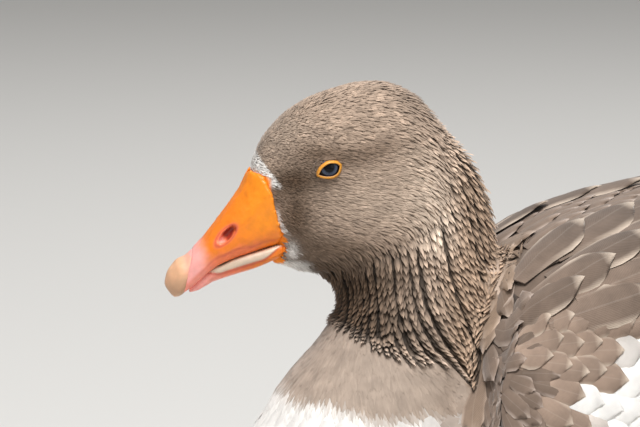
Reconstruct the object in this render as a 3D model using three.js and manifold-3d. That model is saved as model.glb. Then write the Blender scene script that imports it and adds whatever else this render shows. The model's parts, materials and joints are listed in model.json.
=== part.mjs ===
// A life-size grey-backed domestic goose at rest: it sits on its belly with its neck drawn in, its head turned a little
// to its right and tipped down, its wings folded and its feet tucked under.
// Units are millimetres. +Z is up, the goose faces -X and its left side is -Y. The origin is on the floor, under the
// middle of the goose's length and width. Every solid is the outer shape of the plumage, out to the feather tips.
import * as THREE from "three";
import { mergeVertices } from "three/addons/utils/BufferGeometryUtils.js";
import Module from "manifold-3d";

const wasm = await Module();
wasm.setup();

// ---------------------------------------------------------------------------------------------- driving dimensions
const DEG = Math.PI / 180;
const GAP = 0.3; // clearance between pieces that touch
const WELD = 1e-4; // vertices nearer than this are one
const CLEAN = 0.02; // slivers thinner than this are removed after a cut
const FAR = 2000; // reach of the blocks that cut

const SIDES = { left: -1, right: 1 };

// The neck rises on a vertical axis; the head and the upper neck are turned about it.
const NECK_X = -211;
const HEAD_YAW = 12 * DEG;
const YAW_STARTS_Z = 150; // the neck is straight below this height and fully turned above the next one
const YAW_ENDS_Z = 225;

// Trunk under the wings: half-width, top, widest height and bottom along X.
const TRUNK = [
  { x: -304.5, width: 8, top: 114, middle: 107, bottom: 100 },
  { x: -302, width: 25, top: 126, middle: 107, bottom: 83 },
  { x: -295, width: 43, top: 137, middle: 108, bottom: 60 },
  { x: -279, width: 61, top: 146, middle: 108, bottom: 36 },
  { x: -255, width: 71, top: 150, middle: 108, bottom: 16 },
  { x: -228, width: 80, top: 154, middle: 108, bottom: 3 },
  { x: -207, width: 86, top: 161, middle: 108, bottom: -1 },
  { x: -197, width: 88, top: 180, middle: 109, bottom: -3 },
  { x: -188, width: 92, top: 208, middle: 110, bottom: -3 },
  { x: -170, width: 98, top: 231, middle: 112, bottom: -4 },
  { x: -140, width: 106, top: 246, middle: 115, bottom: -4 },
  { x: -85, width: 113, top: 256, middle: 119, bottom: -4 },
  { x: -15, width: 117, top: 261, middle: 122, bottom: -4 },
  { x: 60, width: 115, top: 258, middle: 127, bottom: -4 },
  { x: 120, width: 105, top: 249, middle: 133, bottom: -3 },
  { x: 170, width: 89, top: 234, middle: 138, bottom: 6 },
  { x: 210, width: 71, top: 218, middle: 147, bottom: 34 },
  { x: 245, width: 50, top: 205, middle: 160, bottom: 84 },
  { x: 268, width: 34, top: 196, middle: 171, bottom: 131 },
  { x: 284, width: 9, top: 187, middle: 181, bottom: 172 },
];
const BACK_FULLNESS = 2.5; // superellipse power of the upper half of a trunk ring
const BELLY_FULLNESS = 2.3; // and of its lower half
const TRUNK_STEP = 50; // rings are no further apart than this
const TRUNK_FACETS = 20;
const BREAST_ENDS_X = -150; // cuts that part the trunk
const RUMP_STARTS_X = 150;

// Head and neck as level slices: reach forwards and backwards of the neck's axis, half-width, and how much narrower
// than a plain oval the slice is in front.
const COLUMN = [
  { z: 319, front: 27, back: -16, width: 4, narrowing: 0.1 },
  { z: 317, front: 36, back: -9, width: 11, narrowing: 0.12 },
  { z: 311, front: 52, back: 1, width: 18.5, narrowing: 0.14 },
  { z: 303, front: 64.5, back: 9.5, width: 22.5, narrowing: 0.15 },
  { z: 292, front: 74.5, back: 19, width: 25, narrowing: 0.15 },
  { z: 281, front: 80, back: 27.5, width: 26, narrowing: 0.15 },
  { z: 270, front: 81, back: 33.5, width: 27, narrowing: 0.14 },
  { z: 259, front: 78.5, back: 36, width: 28.5, narrowing: 0.14 },
  { z: 250, front: 76, back: 38, width: 30, narrowing: 0.16 },
  { z: 240, front: 71, back: 39.5, width: 31, narrowing: 0.25 },
  { z: 232, front: 72.5, back: 40, width: 31.5, narrowing: 0.38 },
  { z: 228.5, front: 62, back: 40, width: 31.7, narrowing: 0.4 },
  { z: 225, front: 50.5, back: 40, width: 32, narrowing: 0.34 },
  { z: 221, front: 42, back: 40, width: 33, narrowing: 0.22 },
  { z: 213, front: 38.5, back: 39.5, width: 34.5, narrowing: 0.08 },
  { z: 203, front: 41, back: 39, width: 37, narrowing: 0.02 },
  { z: 192, front: 48.5, back: 38, width: 41, narrowing: 0 },
  { z: 180, front: 60, back: 37, width: 46, narrowing: 0 },
  { z: 168, front: 69.5, back: 36, width: 50.5, narrowing: 0 },
  { z: 155, front: 78, back: 35, width: 56, narrowing: 0 },
  { z: 140, front: 85.5, back: 30, width: 63, narrowing: 0 },
  { z: 122, front: 87.5, back: 20, width: 62, narrowing: 0 },
  { z: 98, front: 74, back: 0, width: 42, narrowing: 0 },
];
const COLUMN_STEP = 14; // slices are no further apart than this
const COLUMN_FACETS = 20;
const NECK_PARTS_Z = 198; // upper neck from lower neck
const BREAST_TOP_Z = 158; // lower neck from breast
const THROAT = { forward: 37, z: 219 }; // the cut between head and neck runs through these two points
const NAPE = { forward: -40, z: 244 };

// Bill in the head's own plane: each station joins a point of the top line to one of the bottom line.
const UPPER_BILL = [
  { top: [70, 288], bottom: [52, 248], width: 14 },
  { top: [80.3, 277], bottom: [61, 244], width: 15.4 },
  { top: [84.8, 267], bottom: [70, 240.3], width: 15.6 },
  { top: [90.5, 258.8], bottom: [78.5, 237.7], width: 15.2 },
  { top: [96, 251.4], bottom: [87, 235], width: 14.4 },
  { top: [101.6, 244], bottom: [95, 231.3], width: 13.4 },
  { top: [108, 237.2], bottom: [102.5, 225.2], width: 11.8 },
  { top: [113.8, 232.2], bottom: [108.5, 219.6], width: 9.6 },
  { top: [118, 227], bottom: [112.5, 216.8], width: 6.8 },
  { top: [119.6, 221], bottom: [115.4, 215.4], width: 3.2 },
];
const LOWER_BILL = [
  { top: [52, 244.5], bottom: [56, 235], width: 13 },
  { top: [62, 242], bottom: [64, 233.8], width: 14.2 },
  { top: [70, 238.8], bottom: [71, 232], width: 13.9 },
  { top: [79, 236.2], bottom: [80, 229.4], width: 13 },
  { top: [87.5, 233.4], bottom: [89, 226.6], width: 12 },
  { top: [95.5, 229.6], bottom: [97, 224], width: 10.6 },
  { top: [102.5, 224], bottom: [103.5, 220.5], width: 8.7 },
  { top: [108.3, 219.2], bottom: [108.8, 217.7], width: 5.4 },
];
const BILL_FACETS = 14;
const CULMEN_FULLNESS = 1.9; // superellipse power of the bill's ridge
const BILL_EDGE_FULLNESS = 5; // and of its flat cutting edge
const NAIL = { forward: 109.3, z: 228, tilt: 13 * DEG }; // the cut behind the pale nail
const NOSTRIL = { forward: 90.8, z: 246.4, length: 11.5, height: 3.8, depth: 3.4, tilt: 45 * DEG };

const EYE = { forward: 42.2, z: 279, inset: 17.9, radius: 7.6 };
const LID = { length: 14.8, height: 11, openLength: 11, openHeight: 7.4, radius: 9.1, tilt: -10 * DEG };

// Layers of feathers on the trunk. An angle is measured round the trunk, from 0 at the back's midline to 90 at the side.
const WING = { front: -192, rear: 104, upper: 24, lower: 99, thick: 10, edge: 2.4 };
const SCAPULARS = { front: -180, rear: 74, lower: 57, thick: 5, edge: 1.4, scallops: 5, scallopDepth: 8 };
const LAYER_STEPS = [9, 6]; // facets along and round a layer

// Rows of long feathers, with a step at every feather's edge and a round end to every feather. Places are x, angle and
// lift off the trunk for the first and the last feather, at their roots and at their tips; filledTo is the lift of the
// row's under side, and notch how far an end is rounded off, as a share of the feather's length.
const SECONDARIES = {
  count: 6, rows: 3, thick: 1.2, step: 1.4, notch: 0.1, filledTo: -4,
  roots: [[50, 84, 3], [40, 58, 6.5]],
  tips: [[134, 91, 3.5], [194, 60, 8]],
};
const TERTIALS = {
  count: 4, rows: 3, thick: 1.4, step: 1.6, notch: 0.13, filledTo: -4,
  roots: [[20, 60, 9], [36, 22, 4]],
  tips: [[168, 62, 11], [202, 27, 8]],
};
const PRIMARIES = { count: 5, rows: 2, thick: 1.2, step: 1.3, notch: 0.16 };
const TAIL = {
  count: 9, rows: 2, thick: 1.3, step: 1.5, notch: 0.12,
  root: 20, x: 240, z: 185, length: 88.1, spread: 38 * DEG, rise: 11 * DEG, droop: 9,
};

// Each foot lies flat under its flank, toes forward.
const FOOT = { x: 6, y: 76, turn: 7 * DEG, heel: 9.5, web: 1.8 };
const TOES = {
  inner: { length: 62, angle: -25 * DEG },
  middle: { length: 82, angle: 0 },
  outer: { length: 74, angle: 24 * DEG },
};
const TOE = { rootRadius: 5.6, tipRadius: 3.4, flatness: 0.62 };
const HIND_TOE = { length: 15, radius: 3, angle: 128 * DEG };
const CLAW = { length: 8.5, radius: 2.7 };
const SHANK = { ankleX: 96, y: 74, ankleRadius: 9, footRadius: 6.6, lift: 0.4 };
const THIGH = { x: 74, y: 82, z: 64, long: 72, out: 38, high: 50 };

// ------------------------------------------------------------------------------------------------------- materials
const finish = (color, roughness) => new THREE.MeshStandardMaterial({ color, roughness, metalness: 0 });
const MATERIALS = {
  greyPlumage: finish(0x8b7c6f, 0.9),
  darkPlumage: finish(0x7a6a5e, 0.9),
  whitePlumage: finish(0xf1efea, 0.9),
  bill: finish(0xf28c28, 0.45),
  nail: finish(0xdcb594, 0.4),
  eye: finish(0x4a5a70, 0.08),
  lid: finish(0xf0a030, 0.5),
  foot: finish(0xe9822b, 0.6),
  claw: finish(0xb79a80, 0.5),
};

// --------------------------------------------------------------------------------------------------- solid helpers
/** A closed three.js geometry as a manifold-3d solid, turned right side out. */
function solid(geometry) {
  const bare = new THREE.BufferGeometry().setAttribute("position", geometry.getAttribute("position"));
  bare.setIndex(geometry.index);
  const merged = mergeVertices(bare, WELD);
  const corners = new Uint32Array(merged.index.array);
  const make = () =>
    new wasm.Manifold(
      new wasm.Mesh({ numProp: 3, vertProperties: merged.attributes.position.array, triVerts: corners }),
    );
  const made = make();
  if (made.volume() > 0) return made;
  for (let i = 0; i < corners.length; i += 3) {
    [corners[i + 1], corners[i + 2]] = [corners[i + 2], corners[i + 1]];
  }
  return make();
}

/** The largest body of a solid, cleaned of slivers. */
function whole(made) {
  const bodies = made.simplify(CLEAN).decompose();
  return bodies.reduce((best, body) => (body.volume() > best.volume() ? body : best));
}

/** A three.js geometry placed by a position and Euler angles, as a solid. */
function placed(geometry, position, turn = [0, 0, 0]) {
  const matrix = new THREE.Matrix4().makeRotationFromEuler(new THREE.Euler(...turn));
  return solid(geometry.clone().applyMatrix4(matrix.setPosition(...position)));
}

/** Everything on the side of a plane that its normal points to. */
function halfSpace(point, normal) {
  const block = new THREE.BoxGeometry(FAR, FAR, FAR).translate(0, 0, FAR / 2);
  const turn = new THREE.Quaternion().setFromUnitVectors(new THREE.Vector3(0, 0, 1), normal.clone().normalize());
  return solid(block.applyQuaternion(turn).translate(point.x, point.y, point.z));
}

/** The two sides of a solid at a plane, a gap apart: first the side that the normal points to. */
function parted(made, point, normal) {
  const step = normal.clone().normalize().multiplyScalar(GAP / 2);
  const ahead = halfSpace(point.clone().add(step), normal);
  const behind = halfSpace(point.clone().sub(step), normal.clone().negate());
  return [made.intersect(ahead), made.intersect(behind)];
}

/** A closed skin over rings of equally many points, each end closed by a fan; its halves are split alike. */
function loft(rings) {
  const facets = rings[0].length;
  const points = rings.flat();
  const corners = [];
  for (let r = 0; r + 1 < rings.length; r++) {
    for (let i = 0; i < facets; i++) {
      const next = (i + 1) % facets;
      const [a, b, c, d] = [r * facets + i, r * facets + next, (r + 1) * facets + next, (r + 1) * facets + i];
      corners.push(...(i < facets / 2 ? [a, b, c, a, c, d] : [a, b, d, b, c, d]));
    }
  }
  for (const [ring, flipped] of [[0, true], [rings.length - 1, false]]) {
    const middle = points.length;
    const total = rings[ring].reduce((sum, p) => sum.add(p), new THREE.Vector3());
    points.push(total.divideScalar(facets));
    for (let i = 0; i < facets; i++) {
      const edge = [ring * facets + i, ring * facets + ((i + 1) % facets)];
      corners.push(middle, ...(flipped ? edge.reverse() : edge));
    }
  }
  return solid(new THREE.BufferGeometry().setFromPoints(points).setIndex(corners));
}

/** The value of one size at a place along stations, on a smooth curve that never overshoots them. */
function sizeAt(stations, along, key, at) {
  const rising = stations.at(-1)[along] > stations[0][along];
  const list = rising ? stations : [...stations].reverse();
  const last = list.length - 1;
  const x = THREE.MathUtils.clamp(at, list[0][along], list[last][along]);
  let i = 0;
  while (i < last - 1 && x > list[i + 1][along]) i++;
  const slope = (j) => (list[j + 1][key] - list[j][key]) / (list[j + 1][along] - list[j][along]);
  const tangent = (j) => {
    if (j === 0) return slope(0);
    if (j === last) return slope(last - 1);
    const [before, after] = [slope(j - 1), slope(j)];
    return before * after <= 0 ? 0 : (2 * before * after) / (before + after);
  };
  const step = list[i + 1][along] - list[i][along];
  const t = (x - list[i][along]) / step;
  const [a, b] = [list[i][key], list[i + 1][key]];
  return (
    a * (1 + 2 * t) * (1 - t) ** 2 + tangent(i) * step * t * (1 - t) ** 2 +
    b * t * t * (3 - 2 * t) + tangent(i + 1) * step * t * t * (t - 1)
  );
}

/** The stations' own places and, where two are further apart than a step, places between them. */
function placesAlong(stations, along, step) {
  return stations.flatMap((station, i) => {
    if (i + 1 === stations.length) return [station[along]];
    const reach = stations[i + 1][along] - station[along];
    const parts = Math.ceil(Math.abs(reach) / step);
    return Array.from({ length: parts }, (_, k) => station[along] + (reach * k) / parts);
  });
}

const power = (value, exponent) => Math.sign(value) * Math.abs(value) ** exponent;
const mix = THREE.MathUtils.lerp;

/** A solid mirrored to the goose's other side. */
const mirrored = (made) => made.mirror([0, 1, 0]);

// ------------------------------------------------------------------------------------------------------- the trunk
/** A point of the trunk's surface at x and at an angle round it, towards +Y. */
function trunkPoint(x, angle, grow = 0) {
  const size = (key) => sizeAt(TRUNK, "x", key, x);
  const upper = Math.cos(angle) > 0;
  const exponent = 2 / (upper ? BACK_FULLNESS : BELLY_FULLNESS);
  const high = (upper ? size("top") - size("middle") : size("middle") - size("bottom")) + grow;
  return new THREE.Vector3(
    x,
    (size("width") + grow) * power(Math.sin(angle), exponent),
    size("middle") + high * power(Math.cos(angle), exponent),
  );
}

/** A point lifted off the trunk's left side along its surface normal. */
function overTrunk(x, angle, lift) {
  const step = 0.5;
  const point = trunkPoint(x, -angle);
  const along = trunkPoint(x + step, -angle).sub(trunkPoint(x - step, -angle));
  const round = trunkPoint(x, -angle - step * DEG).sub(trunkPoint(x, -angle + step * DEG));
  const normal = round.cross(along).normalize();
  return point.addScaledVector(normal, lift);
}

/** The trunk as one solid, all its sizes grown by a clearance. */
function trunkSolid(grow = 0) {
  const places = placesAlong(TRUNK, "x", TRUNK_STEP);
  const ends = { [places[0]]: -grow, [places.at(-1)]: grow };
  const rings = places.map((x) =>
    Array.from({ length: TRUNK_FACETS }, (_, i) => {
      const point = trunkPoint(x, (2 * Math.PI * i) / TRUNK_FACETS, grow);
      return point.setX(x + (ends[x] ?? 0));
    }),
  );
  return loft(rings);
}

// --------------------------------------------------------------------------------------------------- head and neck
/** A point given in the head's plane, turned with it: forwards of the neck's axis, to the goose's right, and up. */
function headPoint(forward, right, z) {
  const turned = THREE.MathUtils.smoothstep(z, YAW_STARTS_Z, YAW_ENDS_Z) * HEAD_YAW;
  const [c, s] = [Math.cos(turned), Math.sin(turned)];
  return new THREE.Vector3(NECK_X - forward * c + right * s, forward * s + right * c, z);
}

/** The head and neck as one solid, all its sizes grown by a clearance. */
function columnSolid(grow = 0) {
  const rings = placesAlong(COLUMN, "z", COLUMN_STEP).map((z) => {
    const size = (key) => sizeAt(COLUMN, "z", key, z);
    const middle = (size("front") - size("back")) / 2;
    const reach = (size("front") + size("back")) / 2 + grow;
    const crown = z === COLUMN[0].z ? grow : 0;
    return Array.from({ length: COLUMN_FACETS }, (_, i) => {
      const angle = (2 * Math.PI * i) / COLUMN_FACETS;
      const narrowed = 1 - size("narrowing") * Math.max(0, Math.cos(angle));
      const wide = (size("width") + grow) * Math.sin(angle) * narrowed;
      const point = headPoint(middle + reach * Math.cos(angle), wide, z);
      return point.setZ(z + crown);
    });
  });
  return loft(rings);
}

/** A mandible as one solid: its ridge is full, and the side towards the other mandible is flat. */
function mandible(stations, flatBelow) {
  const rings = stations.map(({ top, bottom, width }) => {
    const middle = [(top[0] + bottom[0]) / 2, (top[1] + bottom[1]) / 2];
    const half = [(top[0] - bottom[0]) / 2, (top[1] - bottom[1]) / 2];
    return Array.from({ length: BILL_FACETS }, (_, i) => {
      const angle = (2 * Math.PI * i) / BILL_FACETS;
      const flat = Math.cos(angle) > 0 !== flatBelow;
      const exponent = 2 / (flat ? BILL_EDGE_FULLNESS : CULMEN_FULLNESS);
      const up = power(Math.cos(angle), exponent);
      return headPoint(middle[0] + half[0] * up, width * power(Math.sin(angle), exponent), middle[1] + half[1] * up);
    });
  });
  return loft(rings);
}

/** An almond-shaped rod from the eye's middle outwards, to cut the lids with; its front corner is the pointed one. */
function almondRod(length, height, side, deeper = 0) {
  const shape = new THREE.Shape();
  const [far, high] = [length / 2, height / 2];
  shape.moveTo(far, -high * 0.45);
  shape.quadraticCurveTo(far * 0.6, high * 0.95, -far * 0.1, high);
  shape.quadraticCurveTo(-far, high, -far, 0);
  shape.quadraticCurveTo(-far, -high * 0.9, -far * 0.2, -high);
  shape.quadraticCurveTo(far * 0.5, -high, far, -high * 0.45);
  const rod = new THREE.ExtrudeGeometry(shape, { depth: 4 * EYE.radius, bevelEnabled: false, curveSegments: 3 });
  // The shape's x runs forwards and its y up; the rod runs outwards from the eye's middle.
  rod.rotateZ(LID.tilt);
  const frame = new THREE.Matrix4().makeBasis(
    headPoint(1, 0, EYE.z).sub(headPoint(0, 0, EYE.z)),
    new THREE.Vector3(0, 0, 1),
    headPoint(0, side, EYE.z).sub(headPoint(0, 0, EYE.z)),
  );
  const middle = headPoint(EYE.forward, side * (EYE.inset - deeper), EYE.z);
  return solid(rod.applyMatrix4(frame.setPosition(middle)));
}

/** A ball round the eye's middle. */
function eyeBall(radius, side, facets = 10) {
  const middle = headPoint(EYE.forward, side * EYE.inset, EYE.z);
  const ball = new THREE.SphereGeometry(radius, facets, Math.round(facets * 0.6));
  return placed(ball, middle.toArray(), [Math.PI / 2, 0, 0]);
}

/** The hollow of one nostril. */
function nostrilHollow(side) {
  const length = NOSTRIL.length - NOSTRIL.height;
  const slot = new THREE.CapsuleGeometry(NOSTRIL.height / 2, length, 2, 6).rotateZ(Math.PI / 2 - NOSTRIL.tilt);
  const station = UPPER_BILL.find(({ top }) => top[0] > NOSTRIL.forward);
  const surface = station.width * 0.93;
  slot.scale(-1, 1, NOSTRIL.depth / NOSTRIL.height * 2);
  slot.rotateX(Math.PI / 2);
  slot.rotateZ(-HEAD_YAW);
  return solid(slot.translate(...headPoint(NOSTRIL.forward, side * surface, NOSTRIL.z).toArray()));
}

/** Every node of the head and neck, with what cuts into them already taken out. */
function headAndNeck() {
  const column = columnSolid();
  const throat = headPoint(THROAT.forward, 0, THROAT.z);
  const nape = headPoint(NAPE.forward, 0, NAPE.z);
  const right = headPoint(0, 1, THROAT.z).sub(headPoint(0, 0, THROAT.z));
  const headUp = new THREE.Vector3().subVectors(throat, nape).cross(right).normalize();
  if (headUp.z < 0) headUp.negate();
  const up = new THREE.Vector3(0, 0, 1);
  let [head, neck] = parted(column, throat, headUp);
  const [neckUpper, below] = parted(neck, new THREE.Vector3(0, 0, NECK_PARTS_Z), up);
  const [neckLower, breastCore] = parted(below, new THREE.Vector3(0, 0, BREAST_TOP_Z), up);

  const nailPoint = headPoint(NAIL.forward, 0, NAIL.z);
  const nailAhead = headPoint(NAIL.forward + Math.cos(NAIL.tilt), 0, NAIL.z).sub(nailPoint);
  nailAhead.z = Math.sin(NAIL.tilt);
  const solids = {};
  const headGrown = columnSolid(GAP);
  const mandibles = { upper: mandible(UPPER_BILL, true), lower: mandible(LOWER_BILL, false) };
  [solids.nail, solids.bill_upper] = parted(mandibles.upper.subtract(headGrown), nailPoint, nailAhead);
  solids.bill_lower = mandibles.lower.subtract(headGrown);
  for (const [name, side] of Object.entries(SIDES)) {
    const eye = eyeBall(EYE.radius, side).intersect(almondRod(LID.length - 1, LID.height - 1, side));
    const lids = eyeBall(LID.radius, side).intersect(almondRod(LID.length, LID.height, side));
    const opening = almondRod(LID.openLength, LID.openHeight, side).add(eyeBall(EYE.radius + GAP, side));
    solids[`eye_${name}`] = eye;
    solids[`eyelid_${name}`] = lids.subtract(opening);
    const room = eyeBall(LID.radius + GAP, side).intersect(
      almondRod(LID.length + 2 * GAP, LID.height + 2 * GAP, side, GAP),
    );
    head = head.subtract(room);
    solids.bill_upper = solids.bill_upper.subtract(nostrilHollow(side));
  }
  return { ...solids, head, neck_upper: neckUpper, neck_lower: neckLower, breastCore };
}

// ------------------------------------------------------------------------------------------------- wings and tail
/**
 * A layer of feathers on the trunk's left side, as a closed solid whose inner face lies inside the trunk.
 * front and rear give its ends for a place across it, upper and lower the angles that bound it for a place along it,
 * and lift its height off the trunk at a place along it, across it and at an angle.
 */
function featherLayer({ front, rear, upper, lower, lift, grow = 0 }) {
  const [long, round] = LAYER_STEPS;
  const inside = -4;
  const points = [];
  for (const outer of [true, false]) {
    for (let i = 0; i <= long; i++) {
      for (let j = 0; j <= round; j++) {
        const [u, v] = [(i / long) ** 1.25, j / round];
        const x = mix(front(v) - grow, rear(v) + grow, u);
        const edge = j === 0 ? -0.4 : j === round ? 0.4 : 0;
        const angle = mix(upper(u), lower(u), v) + edge * grow;
        points.push(overTrunk(x, angle * DEG, outer ? lift(u, v, angle) + grow : inside));
      }
    }
  }
  return sheetSolid(points, long, round);
}

/** A closed solid between two equal grids of points, first the outer one. */
function sheetSolid(points, long, wide) {
  const at = (layer, i, j) => layer * (long + 1) * (wide + 1) + i * (wide + 1) + j;
  const corners = [];
  const quad = (a, b, c, d) => corners.push(a, b, c, a, c, d);
  for (let i = 0; i < long; i++) {
    for (let j = 0; j < wide; j++) {
      quad(at(0, i, j), at(0, i, j + 1), at(0, i + 1, j + 1), at(0, i + 1, j));
      quad(at(1, i, j), at(1, i + 1, j), at(1, i + 1, j + 1), at(1, i, j + 1));
    }
    quad(at(0, i, 0), at(0, i + 1, 0), at(1, i + 1, 0), at(1, i, 0));
    quad(at(0, i, wide), at(1, i, wide), at(1, i + 1, wide), at(0, i + 1, wide));
  }
  for (let j = 0; j < wide; j++) {
    quad(at(0, 0, j), at(1, 0, j), at(1, 0, j + 1), at(0, 0, j + 1));
    quad(at(0, long, j), at(0, long, j + 1), at(1, long, j + 1), at(1, long, j));
  }
  return solid(new THREE.BufferGeometry().setFromPoints(points).setIndex(corners));
}

/** How far a place between -1 and 1 is from the middle, squared: it draws an edge in towards its ends. */
const bow = (v) => (2 * v - 1) ** 2;

/** The thickness of the folded wing over the trunk at an angle and a place along it. */
function wingThickness(u, angle) {
  const above = THREE.MathUtils.smoothstep(angle, WING.upper, WING.upper + 26);
  const below = 1 - THREE.MathUtils.smoothstep(angle, WING.lower - 22, WING.lower + 4);
  return WING.edge + (WING.thick - WING.edge) * above * below * Math.min(1, 0.6 + 3 * u) * mix(1, 0.75, u);
}

/** The arm of the folded wing with its coverts. */
function wingLayer(grow = 0) {
  return featherLayer({
    front: (v) => WING.front + 26 * bow(v),
    rear: (v) => WING.rear - 34 * bow(v),
    upper: (u) => WING.upper + 8 * u,
    lower: (u) => WING.lower - 24 * bow(u * 0.72 + 0.2),
    lift: (u, v, angle) => wingThickness(u, angle),
    grow,
  });
}

/** The shoulder feathers, which cover the wing's upper edge; their hind edge is scalloped by the largest of them. */
function scapularLayer(grow = 0) {
  const scallop = (v) => SCAPULARS.scallopDepth * Math.abs(Math.sin(Math.PI * v * SCAPULARS.scallops));
  const span = (u) => mix(SCAPULARS.front, SCAPULARS.rear, u);
  const wingAt = (u) => (span(u) - WING.front) / (WING.rear - WING.front);
  return featherLayer({
    front: (v) => SCAPULARS.front + 16 * v * v,
    rear: (v) => SCAPULARS.rear - 66 * v * v + scallop(v),
    upper: (u) => 0.12 + 2.5 * u * u,
    lower: (u) => SCAPULARS.lower - 22 * bow(u * 0.75 + 0.15),
    lift: (u, v, angle) => mix(SCAPULARS.edge, SCAPULARS.thick, Math.sin(Math.PI * mix(0.12, 0.86, u))) +
      wingThickness(wingAt(u), angle) * THREE.MathUtils.smoothstep(angle, WING.upper - 8, WING.upper + 4),
    grow,
  });
}

/**
 * A row of long feathers as one solid. at gives a point for a place along the feathers and a place across the row;
 * each feather's first edge lies a step above the last edge of the feather before it. The row is a thin sheet, or
 * under gives the points that it is filled down to.
 */
function featherRow({ count, rows, thick, step, notch, at, up, under }) {
  const across = [];
  for (let j = 0; j < count; j++) {
    for (const w of [0.004, 0.5, 0.996]) across.push({ t: (j + w) / count, w });
  }
  const points = [];
  for (const outer of [true, false]) {
    for (let i = 0; i <= rows; i++) {
      for (const { t, w } of across) {
        const along = (i / rows) * (1 - notch * bow(w));
        const point = at(along, t);
        const small = 0.01;
        const ahead = at(along + small, t).sub(at(along - small, t));
        const sideways = at(along, t + small).sub(at(along, t - small));
        const normal = ahead.cross(sideways).normalize();
        if (normal.dot(up) < 0) normal.negate();
        const high = thick + step * (1 - w) * mix(0.6, 1, along);
        points.push(outer ? point.addScaledVector(normal, high) : (under ?? at)(along, t));
      }
    }
  }
  return sheetSolid(points, rows, across.length - 1);
}

/** A row of long feathers that lies on the trunk's left side. */
function laidRow(row) {
  const place = (s, t) =>
    [0, 1, 2].map((k) => mix(mix(row.roots[0][k], row.roots[1][k], t), mix(row.tips[0][k], row.tips[1][k], t), s));
  const lifted = (s, t, least = Infinity) => {
    const [x, angle, lift] = place(s, t);
    return overTrunk(x, angle * DEG, Math.min(lift, least));
  };
  const under = (s, t) => lifted(s, t, row.filledTo);
  return featherRow({ ...row, at: (s, t) => lifted(s, t), under, up: new THREE.Vector3(0, -1, 0.8) });
}

const joined = (solids) => solids.reduce((sum, made) => sum.add(made));

/** A solid swollen by about a clearance on every side. */
function roomFor(made) {
  const steps = [0, 1, 2].flatMap((axis) => [-GAP, GAP].map((step) => [0, 0, 0].with(axis, step)));
  return joined(steps.map((step) => made.translate(step)));
}

/** The flight feathers of the left wing, in their three groups. */
function flightFeathers() {
  const folded = new THREE.QuadraticBezierCurve3(
    new THREE.Vector3(140, -95, 182),
    new THREE.Vector3(205, -74, 197),
    new THREE.Vector3(268, -40, 202),
  );
  const at = (s, t) => {
    const point = folded.getPoint(s * mix(0.86, 1.12, t));
    return point.add(new THREE.Vector3(0, mix(-6, 12, t) * mix(1.5, 0.9, s), mix(-13, 13, t) * mix(1.3, 0.6, s)));
  };
  return {
    secondaries: laidRow(SECONDARIES),
    tertials: laidRow(TERTIALS),
    primaries: featherRow({ ...PRIMARIES, at, up: new THREE.Vector3(0, -0.7, 1) }),
  };
}

/** The fan of tail feathers. */
function tailFan() {
  const at = (s, t) => {
    const across = 2 * t - 1;
    const [heading, length] = [across * TAIL.spread, s * TAIL.length * (1 - 0.14 * across * across)];
    return new THREE.Vector3(
      TAIL.x + length * Math.cos(heading),
      TAIL.root * across + length * Math.sin(heading),
      TAIL.z + length * Math.sin(TAIL.rise) - TAIL.droop * across * across * mix(0.5, 1, s),
    );
  };
  return featherRow({ ...TAIL, at, up: new THREE.Vector3(0, 0, 1) });
}

// ------------------------------------------------------------------------------------------------------------ legs
/** A point of the left foot's own frame, forwards, outwards and up from its hub, as a point of the goose. */
function footPoint(forward, outward, up) {
  const [c, s] = [Math.cos(FOOT.turn), Math.sin(FOOT.turn)];
  return new THREE.Vector3(FOOT.x - forward * c + outward * s, -FOOT.y - forward * s - outward * c, up);
}

/** A round-backed rod on the floor of the left foot's frame, flat below, from one place to another. */
function floorRod(from, to, radii, steps = 3, facets = 6) {
  const heading = new THREE.Vector2(to[0] - from[0], to[1] - from[1]).normalize();
  const rings = Array.from({ length: steps + 1 }, (_, r) => {
    const t = r / steps;
    const radius = mix(radii[0], radii[1], t);
    const [forward, outward] = [mix(from[0], to[0], t), mix(from[1], to[1], t)];
    return Array.from({ length: facets }, (_, i) => {
      const angle = (2 * Math.PI * (i + 0.5)) / facets;
      const sideways = radius * Math.cos(angle);
      const up = Math.max(0, radius * TOE.flatness * (1 + 1.12 * Math.sin(angle)));
      return footPoint(forward - heading.y * sideways, outward + heading.x * sideways, up);
    });
  });
  return loft(rings);
}

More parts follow.
